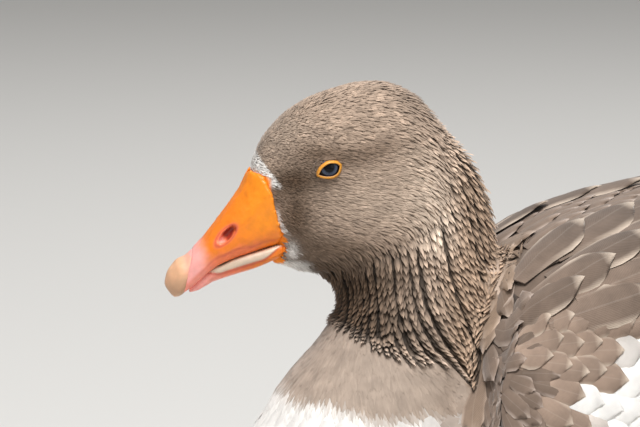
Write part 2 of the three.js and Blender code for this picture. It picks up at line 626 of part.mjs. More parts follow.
/** The left foot with its web, and its claws. */
function leftFoot() {
  const tip = ({ length, angle }, extra = 0) => [
    (length + extra) * Math.cos(angle),
    (length + extra) * Math.sin(angle),
  ];
  const shape = new THREE.Shape([new THREE.Vector2(-4, -5)]);
  const [inner, middle, outer] = [TOES.inner, TOES.middle, TOES.outer].map((toe) => tip(toe, -5));
  shape.lineTo(...inner);
  shape.quadraticCurveTo((inner[0] + middle[0]) * 0.42, (inner[1] + middle[1]) * 0.5, ...middle);
  shape.quadraticCurveTo((outer[0] + middle[0]) * 0.43, (outer[1] + middle[1]) * 0.5, ...outer);
  shape.lineTo(-4, 5);
  const sheet = new THREE.ExtrudeGeometry(shape, { depth: FOOT.web, bevelEnabled: false, curveSegments: 3 });
  const place = new THREE.Matrix4().makeBasis(
    footPoint(1, 0, 0).sub(footPoint(0, 0, 0)),
    footPoint(0, 1, 0).sub(footPoint(0, 0, 0)),
    new THREE.Vector3(0, 0, 1),
  );
  const web = solid(sheet.applyMatrix4(place.setPosition(footPoint(0, 0, 0))));
  const heel = { inner: 0, middle: GAP - FOOT.heel, outer: 0 };
  const toes = Object.entries(TOES).map(([name, toe]) =>
    floorRod([heel[name], 0], tip(toe), [TOE.rootRadius, TOE.tipRadius]),
  );
  const hindTip = tip({ length: HIND_TOE.length, angle: -HIND_TOE.angle });
  const hind = floorRod([-2, -2], hindTip, [4, HIND_TOE.radius], 2);
  const claws = Object.entries({ ...TOES, hind: { length: HIND_TOE.length, angle: -HIND_TOE.angle } }).map(
    ([name, toe]) => {
      const size = name === "hind" ? 0.6 : 1;
      const from = tip(toe, GAP);
      return [name, floorRod(from, tip(toe, CLAW.length * size), [CLAW.radius * size, 0.6], 2, 6)];
    },
  );
  return { foot: joined([web, ...toes, hind]), claws };
}

/** The left shank, lying along the floor behind the foot, from the ankle joint to just short of the foot. */
function leftShank(grow = 0) {
  const steps = [
    { x: SHANK.ankleX + 9, radius: 4 },
    { x: SHANK.ankleX + 5, radius: SHANK.ankleRadius * 0.85 },
    { x: SHANK.ankleX - 3, radius: SHANK.ankleRadius },
    { x: SHANK.ankleX - 16, radius: SHANK.footRadius + 0.6 },
    { x: FOOT.x + 26, radius: SHANK.footRadius },
    { x: FOOT.x + FOOT.heel + 4 * GAP, radius: SHANK.footRadius },
  ];
  return loft(
    steps.map(({ x, radius }) =>
      Array.from({ length: 10 }, (_, i) => {
        const angle = (2 * Math.PI * i) / 10;
        const size = radius + grow;
        return new THREE.Vector3(
          x,
          -SHANK.y + size * 0.85 * Math.cos(angle),
          SHANK.lift + radius + size * Math.sin(angle),
        );
      }),
    ),
  );
}

/** The feathered left thigh, as it bulges from the flank. */
function leftThigh(grow = 0) {
  const ball = new THREE.SphereGeometry(1, 14, 8).scale(THIGH.long + grow, THIGH.out + grow, THIGH.high + grow);
  return placed(ball, [THIGH.x, -THIGH.y, THIGH.z]);
}

// -------------------------------------------------------------------------------------------------------- assembly
/** Every node's solid, by name, none of them overlapping another. */
function buildSolids() {
  const { breastCore, ...solids } = headAndNeck();
  const aboveFloor = halfSpace(new THREE.Vector3(), new THREE.Vector3(0, 0, 1));
  const trunkGrown = trunkSolid(GAP);
  const neckGrown = columnSolid(GAP).intersect(
    halfSpace(new THREE.Vector3(0, 0, BREAST_TOP_Z - GAP / 2), new THREE.Vector3(0, 0, 1)),
  );
  const neckRoom = neckGrown.add(mirrored(neckGrown));

  const { foot, claws } = leftFoot();
  const shank = leftShank();
  const legRoom = joined([foot.translate([0, 0, GAP]), foot, leftShank(GAP)]);
  const thigh = leftThigh().subtract(trunkGrown).subtract(legRoom).subtract(wingLayer(GAP));
  const wing = wingLayer().subtract(trunkGrown).subtract(neckRoom);
  const scapulars = scapularLayer().subtract(trunkGrown).subtract(wingLayer(GAP)).subtract(neckRoom);
  const flight = flightFeathers();
  const overWing = joined([wingLayer(GAP), scapularLayer(GAP)]);
  const tertials = flight.tertials.subtract(overWing).subtract(trunkGrown);
  const secondaries = flight.secondaries.subtract(overWing).subtract(trunkGrown);
  const primaries = flight.primaries.subtract(overWing).subtract(trunkGrown);
  const left = {
    wing,
    scapulars,
    tertials,
    secondaries: secondaries.subtract(roomFor(tertials)),
    primaries: primaries.subtract(roomFor(tertials)).subtract(roomFor(secondaries)),
    thigh: thigh.subtract(roomFor(secondaries)),
    shank,
    foot,
    ...Object.fromEntries(claws.map(([name, made]) => [`claw_${name}`, made])),
  };
  for (const [name, made] of Object.entries(left)) {
    solids[`${name}_left`] = made;
    solids[`${name}_right`] = mirrored(made);
  }

  const legs = joined([legRoom, mirrored(legRoom)]);
  const body = trunkSolid().add(breastCore).intersect(aboveFloor).subtract(neckGrown).subtract(legs);
  const forwards = new THREE.Vector3(-1, 0, 0);
  const [breast, hind] = parted(body, new THREE.Vector3(BREAST_ENDS_X, 0, 0), forwards);
  const [trunk, rump] = parted(hind, new THREE.Vector3(RUMP_STARTS_X, 0, 0), forwards);
  const tail = tailFan().subtract(trunkGrown);
  const primariesRoom = roomFor(joined([solids.primaries_left, solids.primaries_right]));
  return { ...solids, breast, trunk, rump, tail: tail.subtract(primariesRoom) };
}

const MATERIAL_OF = [
  [/^bill/, "bill"],
  [/^nail/, "nail"],
  [/^eyelid/, "lid"],
  [/^eye/, "eye"],
  [/^claw/, "claw"],
  [/^(foot|shank)/, "foot"],
  [/^(head|neck)/, "greyPlumage"],
  [/^(scapulars|thigh)/, "darkPlumage"],
  [/./, "whitePlumage"],
];

/** A solid as a named mesh with its material. */
function meshOf(name, made) {
  const { vertProperties, triVerts, numProp } = whole(made).getMesh();
  const points = [];
  for (let i = 0; i < vertProperties.length; i += numProp) {
    points.push(new THREE.Vector3().fromArray(vertProperties, i));
  }
  const geometry = new THREE.BufferGeometry().setFromPoints(points).setIndex([...triVerts]);
  geometry.computeVertexNormals();
  const [, material] = MATERIAL_OF.find(([pattern]) => pattern.test(name));
  const mesh = new THREE.Mesh(geometry, MATERIALS[material]);
  mesh.name = name;
  return mesh;
}

const goose = new THREE.Group();
for (const [name, made] of Object.entries(buildSolids())) goose.add(meshOf(name, made));

export default goose;
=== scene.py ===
"""A life-size still model of a grey-backed domestic goose that rests on its belly, its feet tucked under.

All sizes in the tables and fields are in millimetres; meshes are in metres. The goose faces -X, and its
left side is -Y.
"""

import sys

import json
import logging
import math
from dataclasses import dataclass, field
from enum import IntEnum
from typing import Callable, Sequence

import bpy
import numpy as np
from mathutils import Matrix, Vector, kdtree
from mathutils.bvhtree import BVHTree

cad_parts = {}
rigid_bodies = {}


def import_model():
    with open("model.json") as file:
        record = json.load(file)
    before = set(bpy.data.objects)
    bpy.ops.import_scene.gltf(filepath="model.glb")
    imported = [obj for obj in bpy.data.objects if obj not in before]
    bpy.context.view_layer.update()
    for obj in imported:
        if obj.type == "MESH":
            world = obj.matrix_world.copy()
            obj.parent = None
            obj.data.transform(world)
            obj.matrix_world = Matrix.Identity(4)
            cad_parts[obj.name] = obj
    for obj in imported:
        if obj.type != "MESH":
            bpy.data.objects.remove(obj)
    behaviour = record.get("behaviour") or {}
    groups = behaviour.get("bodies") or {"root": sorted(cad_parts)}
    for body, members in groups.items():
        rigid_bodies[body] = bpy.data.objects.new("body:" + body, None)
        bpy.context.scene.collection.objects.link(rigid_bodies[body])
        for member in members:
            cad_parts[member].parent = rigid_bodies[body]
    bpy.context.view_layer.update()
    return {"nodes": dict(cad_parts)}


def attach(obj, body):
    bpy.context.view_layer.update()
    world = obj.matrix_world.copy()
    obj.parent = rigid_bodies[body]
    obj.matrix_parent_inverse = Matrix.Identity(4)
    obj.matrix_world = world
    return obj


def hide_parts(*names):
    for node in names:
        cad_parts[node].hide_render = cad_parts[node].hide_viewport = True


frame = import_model()
LOG = logging.getLogger("goose")
MM = 0.001
MERGED = 0.02 * MM
PAINT = "Paint"
UNWRAP = "OFBake"
VANE_MAP = "Vane"
BODY = "root"
# Short names for the types.
Array = np.ndarray
Piece = bpy.types.Object
Material = bpy.types.Material
Socket = bpy.types.NodeSocket
Chance = np.random.Generator
Colour = tuple[float, float, float] | Array


class Side(IntEnum):
    """A side of the goose, as the sign that Y has there."""

    LEFT = -1
    RIGHT = 1

    @property
    def label(self) -> str:
        """The side's name as the nodes have it."""
        return self.name.lower()


# ---------- small helpers
def smooth(value: Array, start: float, end: float) -> Array:
    """An even rise of each value from 0 at start to 1 at end, which may be the lower of the two."""
    t = np.clip((np.asarray(value, float) - start) / (end - start), 0.0, 1.0)
    return t * t * (3 - 2 * t)


def mix(a: Array, b: Array, t: Array) -> Array:
    """The value between a and b at the share t."""
    return a + (b - a) * t


def unit(vectors: Array) -> Array:
    """The vectors at a length of one."""
    length = np.linalg.norm(vectors, axis=-1, keepdims=True)
    return vectors / np.maximum(length, 1e-12)


def turned(a: Array, b: Array, degrees: float) -> tuple[Array, Array]:
    """The places of points along and across an axis that is turned from the first of theirs to the second."""
    c, s = math.cos(math.radians(degrees)), math.sin(math.radians(degrees))
    return a * c + b * s, b * c - a * s


def along_surface(vectors: Array, normals: Array) -> Array:
    """The unit directions of the vectors once they are laid flat on the surface."""
    flat = vectors - normals * np.sum(vectors * normals, axis=-1, keepdims=True)
    return unit(flat)


def deselect_all() -> None:
    """Leaves nothing selected and nothing in edit mode."""
    if bpy.context.object and bpy.context.object.mode != "OBJECT":
        bpy.ops.object.mode_set(mode="OBJECT")
    bpy.ops.object.select_all(action="DESELECT")


def pick(piece: Piece) -> None:
    """Makes a piece the only selected and the active object."""
    deselect_all()
    piece.hide_set(False)
    piece.select_set(True)
    bpy.context.view_layer.objects.active = piece


def read(items: bpy.types.bpy_prop_collection, name: str, width: int, kind: type = np.float32) -> Array:
    """One property of all of a mesh's items.

    Args:
        items: the items, such as its vertices.
        name: the property.
        width: how many numbers each item has.
        kind: the type of the numbers.

    Returns:
        A row of numbers for each item.
    """
    values = np.zeros(len(items) * width, kind)
    items.foreach_get(name, values)
    return values.reshape(-1, width)


def vertices_of(piece: Piece) -> Array:
    """The places of a piece's vertices, in metres."""
    return read(piece.data.vertices, "co", 3).astype(float)


def surface_of(piece: Piece) -> tuple[Array, Array]:
    """The places of a piece's vertices, in metres, and the directions that it faces there."""
    return vertices_of(piece), read(piece.data.vertices, "normal", 3).astype(float)


def move_vertices(piece: Piece, places: Array) -> None:
    """Puts a piece's vertices at new places, in metres."""
    piece.data.vertices.foreach_set("co", places.astype(np.float32).ravel())
    piece.data.update()


def paint(piece: Piece, colours: Array) -> None:
    """Gives each vertex of a piece a linear colour for its material to read."""
    attribute = piece.data.color_attributes.new(PAINT, "FLOAT_COLOR", "POINT")
    full = np.ones((len(colours), 4), np.float32)
    full[:, :3] = np.clip(colours, 0.0, 1.0)
    attribute.data.foreach_set("color", full.ravel())


def copy_nodes(name: str, nodes: Sequence[str]) -> Piece:
    """Copies CAD nodes into one new object with its doubled vertices merged.

    Args:
        name: the new object's name.
        nodes: the nodes to copy.

    Returns:
        The new object.
    """
    copies = []
    for node in nodes:
        source = frame["nodes"][node]
        copied = bpy.data.objects.new(name, source.data.copy())
        bpy.context.scene.collection.objects.link(copied)
        copied.data.materials.clear()
        copies.append(copied)
    pick(copies[0])
    for copied in copies:
        copied.select_set(True)
    if len(copies) > 1:
        bpy.ops.object.join()
    piece = bpy.context.view_layer.objects.active
    piece.name = name
    piece.data.name = name
    for attribute in list(piece.data.color_attributes):
        piece.data.color_attributes.remove(attribute)
    while piece.data.uv_layers:
        piece.data.uv_layers.remove(piece.data.uv_layers[0])
    edit_whole(piece, lambda: bpy.ops.mesh.remove_doubles(threshold=MERGED))
    return piece


def shaped(name: str, nodes: Sequence[str], voxel: float, smoothing: int) -> Piece:
    """Copies CAD nodes into one new object and turns it into one even closed surface.

    Args:
        name: the new object's name.
        nodes: the nodes to copy.
        voxel: the width of its new faces, in millimetres.
        smoothing: how many times its vertices are evened out.

    Returns:
        The new object.
    """
    piece = copy_nodes(name, nodes)
    even = piece.modifiers.new("even", "REMESH")
    even.mode = "VOXEL"
    even.voxel_size = voxel * MM
    even.use_smooth_shade = True
    soften(piece, smoothing)
    keep_largest(piece)
    return piece


def soften(piece: Piece, times: int) -> None:
    """Applies a piece's modifiers and evens out its vertices a number of times."""
    soft = piece.modifiers.new("soft", "SMOOTH")
    soft.factor = 0.5
    soft.iterations = times
    pick(piece)
    for modifier in list(piece.modifiers):
        bpy.ops.object.modifier_apply(modifier=modifier.name)


def edit_whole(piece: Piece, *steps: Callable[[], object]) -> None:
    """Takes some edit-mode steps on the whole of a piece.

    Args:
        piece: the piece.
        steps: what to do, in order.
    """
    pick(piece)
    bpy.ops.object.mode_set(mode="EDIT")
    bpy.ops.mesh.select_all(action="SELECT")
    for step in steps:
        step()
    bpy.ops.object.mode_set(mode="OBJECT")


def keep_largest(piece: Piece) -> None:
    """Deletes whatever of a piece isn't joined to its lowest vertex along X, such as a bubble inside it."""
    places = vertices_of(piece)
    pick(piece)
    bpy.ops.object.mode_set(mode="EDIT")
    bpy.ops.mesh.select_all(action="DESELECT")
    bpy.ops.object.mode_set(mode="OBJECT")
    piece.data.vertices[int(places[:, 0].argmin())].select = True
    bpy.ops.object.mode_set(mode="EDIT")
    bpy.ops.mesh.select_mode(type="VERT")
    bpy.ops.mesh.select_linked()
    bpy.ops.mesh.select_all(action="INVERT")
    bpy.ops.mesh.delete(type="VERT")
    bpy.ops.object.mode_set(mode="OBJECT")


def finish_piece(
    piece: Piece, nodes: Sequence[str] = (), material: Material | None = None,
) -> None:
    """Rides a piece on the goose and hides the nodes that it stands for.

    Args:
        piece: the finished piece.
        nodes: the CAD nodes that it replaces, if any.
        material: its finish, where it has none yet.
    """
    if material:
        piece.data.materials.append(material)
    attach(piece, BODY)
    if nodes:
        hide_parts(*nodes)
    piece.data.calc_loop_triangles()
    LOG.info("%s: %d triangles", piece.name, len(piece.data.loop_triangles))


# ---------- the shape of the goose
class Profile:
    """Sizes that change smoothly between stations."""

    def __init__(self, rows: list[tuple[float, ...]]) -> None:
        """Keeps the stations in rising order and works out the slope at each.

        Args:
            rows: each station's place and then its sizes.
        """
        table = np.array(sorted(rows), float)
        self.place = table[:, 0]
        self.size = table[:, 1:]
        slope = np.diff(self.size, axis=0) / np.diff(self.place)[:, None]
        before, after = slope[:-1], slope[1:]
        steady = before * after > 0
        total = np.where(steady, before + after, 1.0)
        inner = np.where(steady, 2 * before * after / total, 0.0)
        self.slope = np.vstack([slope[:1], inner, slope[-1:]])

    def at(self, place: Array) -> Array:
        """The sizes at each place, one column for each size."""
        x = np.clip(np.asarray(place, float), self.place[0], self.place[-1])
        i = np.clip(np.searchsorted(self.place, x) - 1, 0, len(self.place) - 2)
        step = (self.place[i + 1] - self.place[i])[..., None]
        t = (x - self.place[i])[..., None] / step
        a, b = self.size[i], self.size[i + 1]
        rise, fall = self.slope[i] * step, self.slope[i + 1] * step
        return (
            a * (1 + 2 * t) * (1 - t) ** 2
            + rise * t * (1 - t) ** 2
            + b * t * t * (3 - 2 * t)
            + fall * t * t * (t - 1)
        )


# The trunk at each x: its half-width, and the heights of its back, its widest line and its belly.
TRUNK = Profile([
    (-304.5, 8, 114, 107, 100), (-302, 25, 126, 107, 83), (-295, 43, 137, 108, 60), (-279, 61, 146, 108, 36),
    (-255, 71, 150, 108, 16), (-228, 80, 154, 108, 3), (-207, 86, 161, 108, -1), (-197, 88, 180, 109, -3),
    (-188, 92, 208, 110, -3), (-170, 98, 231, 112, -4), (-140, 106, 246, 115, -4), (-85, 113, 256, 119, -4),
    (-15, 117, 261, 122, -4), (60, 115, 258, 127, -4), (120, 105, 249, 133, -3), (170, 89, 234, 138, 6),
    (210, 71, 218, 147, 34), (245, 50, 205, 160, 84), (268, 34, 196, 171, 131), (284, 9, 187, 181, 172),
])
# The head and neck at each height: their reach forwards and backwards of the neck's axis, and to each side.
COLUMN = Profile([
    (319, 27, -16, 4), (317, 36, -9, 11), (311, 52, 1, 18.5), (303, 64.5, 9.5, 22.5), (292, 74.5, 19, 25),
    (281, 80, 27.5, 26), (270, 81, 33.5, 27), (259, 78.5, 36, 28.5), (250, 76, 38, 30), (240, 71, 39.5, 31),
    (232, 72.5, 40, 31.5), (228.5, 62, 40, 31.7), (225, 50.5, 40, 32), (221, 42, 40, 33),
    (213, 38.5, 39.5, 34.5), (203, 41, 39, 37), (192, 48.5, 38, 41), (180, 60, 37, 46),
    (168, 69.5, 36, 50.5), (155, 78, 35, 56),
    (140, 85.5, 30, 63), (122, 87.5, 20, 62), (98, 74, 0, 42),
])
NECK_X = -211.0
HEAD_YAW = math.radians(12)
YAW_STARTS_Z = 150.0
YAW_ENDS_Z = 225.0
BACK_FULLNESS = 2.5
BELLY_FULLNESS = 2.3


def trunk_point(x: Array, angle: Array) -> Array:
    """A point of the trunk at x and at an angle round it from its top towards +Y, in millimetres."""
    x, angle = np.broadcast_arrays(np.asarray(x, float), np.asarray(angle, float))
    width, top, middle, bottom = np.moveaxis(TRUNK.at(x), -1, 0)
    upper = np.cos(angle) > 0
    exponent = np.where(upper, 2 / BACK_FULLNESS, 2 / BELLY_FULLNESS)
    high = np.where(upper, top - middle, middle - bottom)
    sideways = np.sign(np.sin(angle)) * np.abs(np.sin(angle)) ** exponent
    upwards = np.sign(np.cos(angle)) * np.abs(np.cos(angle)) ** exponent
    return np.stack([x, width * sideways, middle + high * upwards], -1)


def over_trunk(x: Array, angle: Array, lift: Array) -> Array:
    """A point lifted off the trunk's left side, in millimetres, at x and at an angle from the top."""
    small = 0.5
    turn = math.radians(small)
    point = trunk_point(x, -angle)
    along = trunk_point(x + small, -angle) - trunk_point(x - small, -angle)
    around = trunk_point(x, -angle - turn) - trunk_point(x, -angle + turn)
    normal = unit(np.cross(around, along))
    return point + normal * np.asarray(lift, float)[..., None]


def head_point(forward: Array, right: Array, z: Array) -> Array:
    """A point given in the head's turned plane, forwards of the neck's axis, to the goose's right, and up."""
    forward, right, z = np.broadcast_arrays(*(np.asarray(v, float) for v in (forward, right, z)))
    turned = smooth(z, YAW_STARTS_Z, YAW_ENDS_Z) * HEAD_YAW
    c, s = np.cos(turned), np.sin(turned)
    return np.stack([NECK_X - forward * c + right * s, forward * s + right * c, z], -1)


class Place:
    """Where points lie on the goose, in the measures that its markings and its feathers follow."""

    def __init__(self, points: Array) -> None:
        """Works out each point's place, in millimetres.

        Args:
            points: the points, in metres.
        """
        self.x, self.y, self.z = (np.asarray(points, float) / MM).T
        self.turned = smooth(self.z, YAW_STARTS_Z, YAW_ENDS_Z) * HEAD_YAW
        c, s = np.cos(self.turned), np.sin(self.turned)
        ahead = NECK_X - self.x
        self.forward = ahead * c + self.y * s
        self.right = self.y * c - ahead * s
        front, back, width = COLUMN.at(self.z).T
        middle, reach = (front - back) / 2, (front + back) / 2
        self.from_axis = np.hypot((self.forward - middle) / reach, self.right / width)
        near = 1 - smooth(self.from_axis, 1.08, 1.35)
        near *= smooth(self.z, 146, 172)
        self.on_neck = np.maximum(near, smooth(self.z, 226, 232) * (self.x < -174))
        self.side = np.abs(self.y)

    def mane(self) -> Array:
        """How far each point is inside the ridged part of the neck, from 0 on the face to 1."""
        edge = MANE_EDGE.at(self.z)[:, 0]
        foot = MANE_FOOT.at(self.forward)[:, 0]
        return smooth(edge - self.forward, -3.0, 7.0) * smooth(self.z - foot, -5.0, 4.0) * self.on_neck

    def from_top(self) -> Array:
        """Each point's angle round the trunk from the top of the back, in degrees."""
        _, top, middle, _ = TRUNK.at(self.x).T
        rise = np.clip((self.z - middle) / np.maximum(top - middle, 1), -1, 1)
        return np.degrees(np.arccos(np.sign(rise) * np.abs(rise) ** (BACK_FULLNESS / 2)))

    def on_bill(self) -> Array:
        """How far inside the bill's edge each point of the face lies, in millimetres."""
        brow = 273.4 + 0.27 * (self.forward - 69.0) - self.z
        return np.minimum(self.forward - BILL_BASE.at(self.z)[:, 0], brow)


# The front edge of the neck's ridged feathers: how far forwards it lies at each height.
MANE_EDGE = Profile([
    (150, 90), (222, 70), (226, 56), (230, 41), (235.5, 27), (241, 17), (245.5, 7), (252, -3), (269, -13),
    (285, -11), (300, -7), (309, -4), (319, 2),
])
# The lower edge of them: the height where they end, by how far forwards they lie.
MANE_FOOT = Profile([
    (-42, 150), (-28, 154), (-20, 172), (-10, 189), (8, 191), (25, 197), (37, 203), (60, 214),
])
# The line where the face's feathers meet the bill: how far forwards it lies at each height on the side.
BILL_BASE = Profile([
    (232, 65), (238, 64.4), (242.5, 63.2), (244.6, 61.5), (246.2, 62.8), (250.3, 66.6), (255.1, 68.6),
    (263.2, 69.8), (271.5, 69.2),
])


# ---------- markings and painted shade
class Paintwork:
    """Colours that are laid one over another, for each point of a piece."""

    def __init__(self, colour: Colour, count: int) -> None:
        """Starts with one even colour for a number of points."""
        self.colour = np.tile(np.array(colour), (count, 1))

    def lay(self, colour: Colour, share: Array) -> None:
        """Turns each point by its share towards another colour, or towards one of its own."""
        self.colour = mix(self.colour, np.array(colour), np.clip(share, 0, 1)[:, None])


TAUPE = np.array([0.385, 0.285, 0.215])
TAUPE_PALE = np.array([0.56, 0.445, 0.35])
TAUPE_DARK = np.array([0.118, 0.072, 0.043])
MANTLE = np.array([0.215, 0.155, 0.118])
THROAT_GREY = np.array([0.385, 0.305, 0.246])
NAPE = np.array([0.32, 0.225, 0.158])
WHITE = np.array([0.88, 0.855, 0.82])
BILL_ROOT = np.array([0.88, 0.25, 0.012])
# The soft patches on the head, laid in this order: each one's colour, its strength and its oval for blot.
HEAD_PATCHES = (
    (TAUPE * 0.78, 1.0, (0, 309, 20, 11, 25)),
    # Partly the cheek's own paler feathers and partly a painted sheen.
    (TAUPE_PALE * 1.12, 0.95, (-6, 262, 13, 26, -14)),
    (TAUPE_PALE, 0.35, (20, 264, 26, 13)),
    (TAUPE_PALE, 0.45, (66, 294, 14, 9, -40)),
    (TAUPE_DARK * 0.8, 1.0, (60, 273, 15, 8, -14)),
    (TAUPE_DARK, 0.9, (59, 256, 8, 15)),
    (TAUPE_DARK, 0.55, (26, 287, 20, 5, -17)),
    (TAUPE_DARK, 0.75, (47, 286, 13, 5)),
    # Painted shade under the jaw, on the underside that faces away from the light.
    (TAUPE_DARK * 0.9, 0.95, (40, 237, 34, 11, 5)),
)
# The lower edge of the grey saddle: its angle from the top of the back at each x.
SADDLE_EDGE = Profile([
    (-230, 30), (-205, 32), (-197, 44), (-188, 64), (-180, 74), (-165, 82), (-153, 82), (-144, 68),
    (-138, 53), (-120, 51), (20, 47), (70, 30), (92, 0),
])


def blot(place: Place, forward: float, z: float, long: float, high: float, tilt: float = 0.0) -> Array:
    """How strongly each point lies in an oval, given by its middle, its two reaches and its tilt up."""
    along, across = turned(place.forward - forward, place.z - z, tilt)
    return np.exp(-((along / long) ** 2) - (across / high) ** 2)


def grey_share(place: Place) -> Array:
    """How grey each point of the plumage is, from 0, white, to 1, with a soft border."""
    wave = 2.5 * np.sin(place.x * 0.11) + 2.0 * np.sin(place.y * 0.17 + 1.3)
    neck_edge = 161.5 + 0.09 * np.clip(place.forward, -40, 90) + 0.5 * wave
    neck = smooth(place.z, neck_edge - 4, neck_edge + 5)
    reach = smooth(place.x, -168, -182)
    neck = neck * np.maximum(reach, place.on_neck)
    edge = SADDLE_EDGE.at(place.x)[:, 0] + 3 * np.sin(place.x * 0.13)
    saddle = smooth(edge - place.from_top(), -3, 5) * smooth(place.x, -222, -204)
    thigh = np.hypot((place.x - 74) / 66, (place.z - 62) / 42)
    thigh = smooth(thigh, 1.05, 0.85) * (place.side > 60)
    spot = np.exp(-(((place.x + 151) / 14) ** 2) - ((place.z - 174) / 10) ** 2) * (place.side > 60)
    return np.clip(np.maximum(np.maximum(neck, saddle * (1 - smooth(spot, 0.4, 0.6))), 0.85 * thigh), 0, 1)


def plumage_colour(points: Array) -> Array:
    """The colour of the plumage at each point, with some painted shade and sheen on the head and neck; the
    same for the skin and for the feathers rooted in it.

    Args:
        points: the points, in metres.

    Returns:
        A linear colour for each.
    """
    place = Place(points)
    work = Paintwork(TAUPE, len(points))
    towards = work.lay
    head = smooth(place.z, 222, 232)
    towards(TAUPE * 1.1, smooth(place.z, 284, 304))
    for colour, strength, oval in HEAD_PATCHES:
        towards(colour, strength * head * blot(place, *oval))
    below = smooth(place.z, 246, 228)
    towards(NAPE, smooth(place.z, 300, 270) * smooth(place.forward, -8, -24))
    towards(NAPE, below * smooth(place.forward, 0, -16))
    # The front of the neck below the head is darkened; the deeper darkening at its very front is painted
    # shade cast by the head.
    towards(TAUPE * 0.72, below * smooth(place.z, 186, 205) * smooth(place.forward, -16, 2))
    towards(TAUPE_DARK * 0.7, 0.95 * below * smooth(place.forward, -6, 26) * smooth(place.z, 192, 208))
    towards(THROAT_GREY, smooth(place.z - MANE_FOOT.at(place.forward)[:, 0], 6, -8) * place.on_neck)
    mantle = (1 - place.on_neck) * smooth(place.x, -215, -200)
    towards(MANTLE, mantle)
    towards(WHITE, 1 - grey_share(place))
    # White feathers edge the bill: on the forehead, in a line down its side, and on the chin.
    face = smooth(place.forward, 55, 58)
    forehead = smooth(place.forward - 0.75 * (place.z - 273), 67.3, 69.0) * smooth(place.z, 268, 271)
    towards(WHITE, 0.9 * forehead * face)
    line = smooth(place.on_bill(), -3.2, -1.8) * smooth(place.z, 246, 249) * smooth(place.z, 262, 256)
    towards(WHITE, 0.75 * line)
    chin = smooth(place.z, 235.5, 232.5) * smooth(place.forward, 50, 56) * smooth(place.z, 214, 222)
    corner = blot(place, 60.5, 239, 2.6, 4.2)
    towards(WHITE, 0.9 * np.maximum(chin, corner))
    towards(BILL_ROOT, smooth(place.on_bill(), 0.0, 0.3) * smooth(place.z, 231.5, 233) * face)
    return work.colour


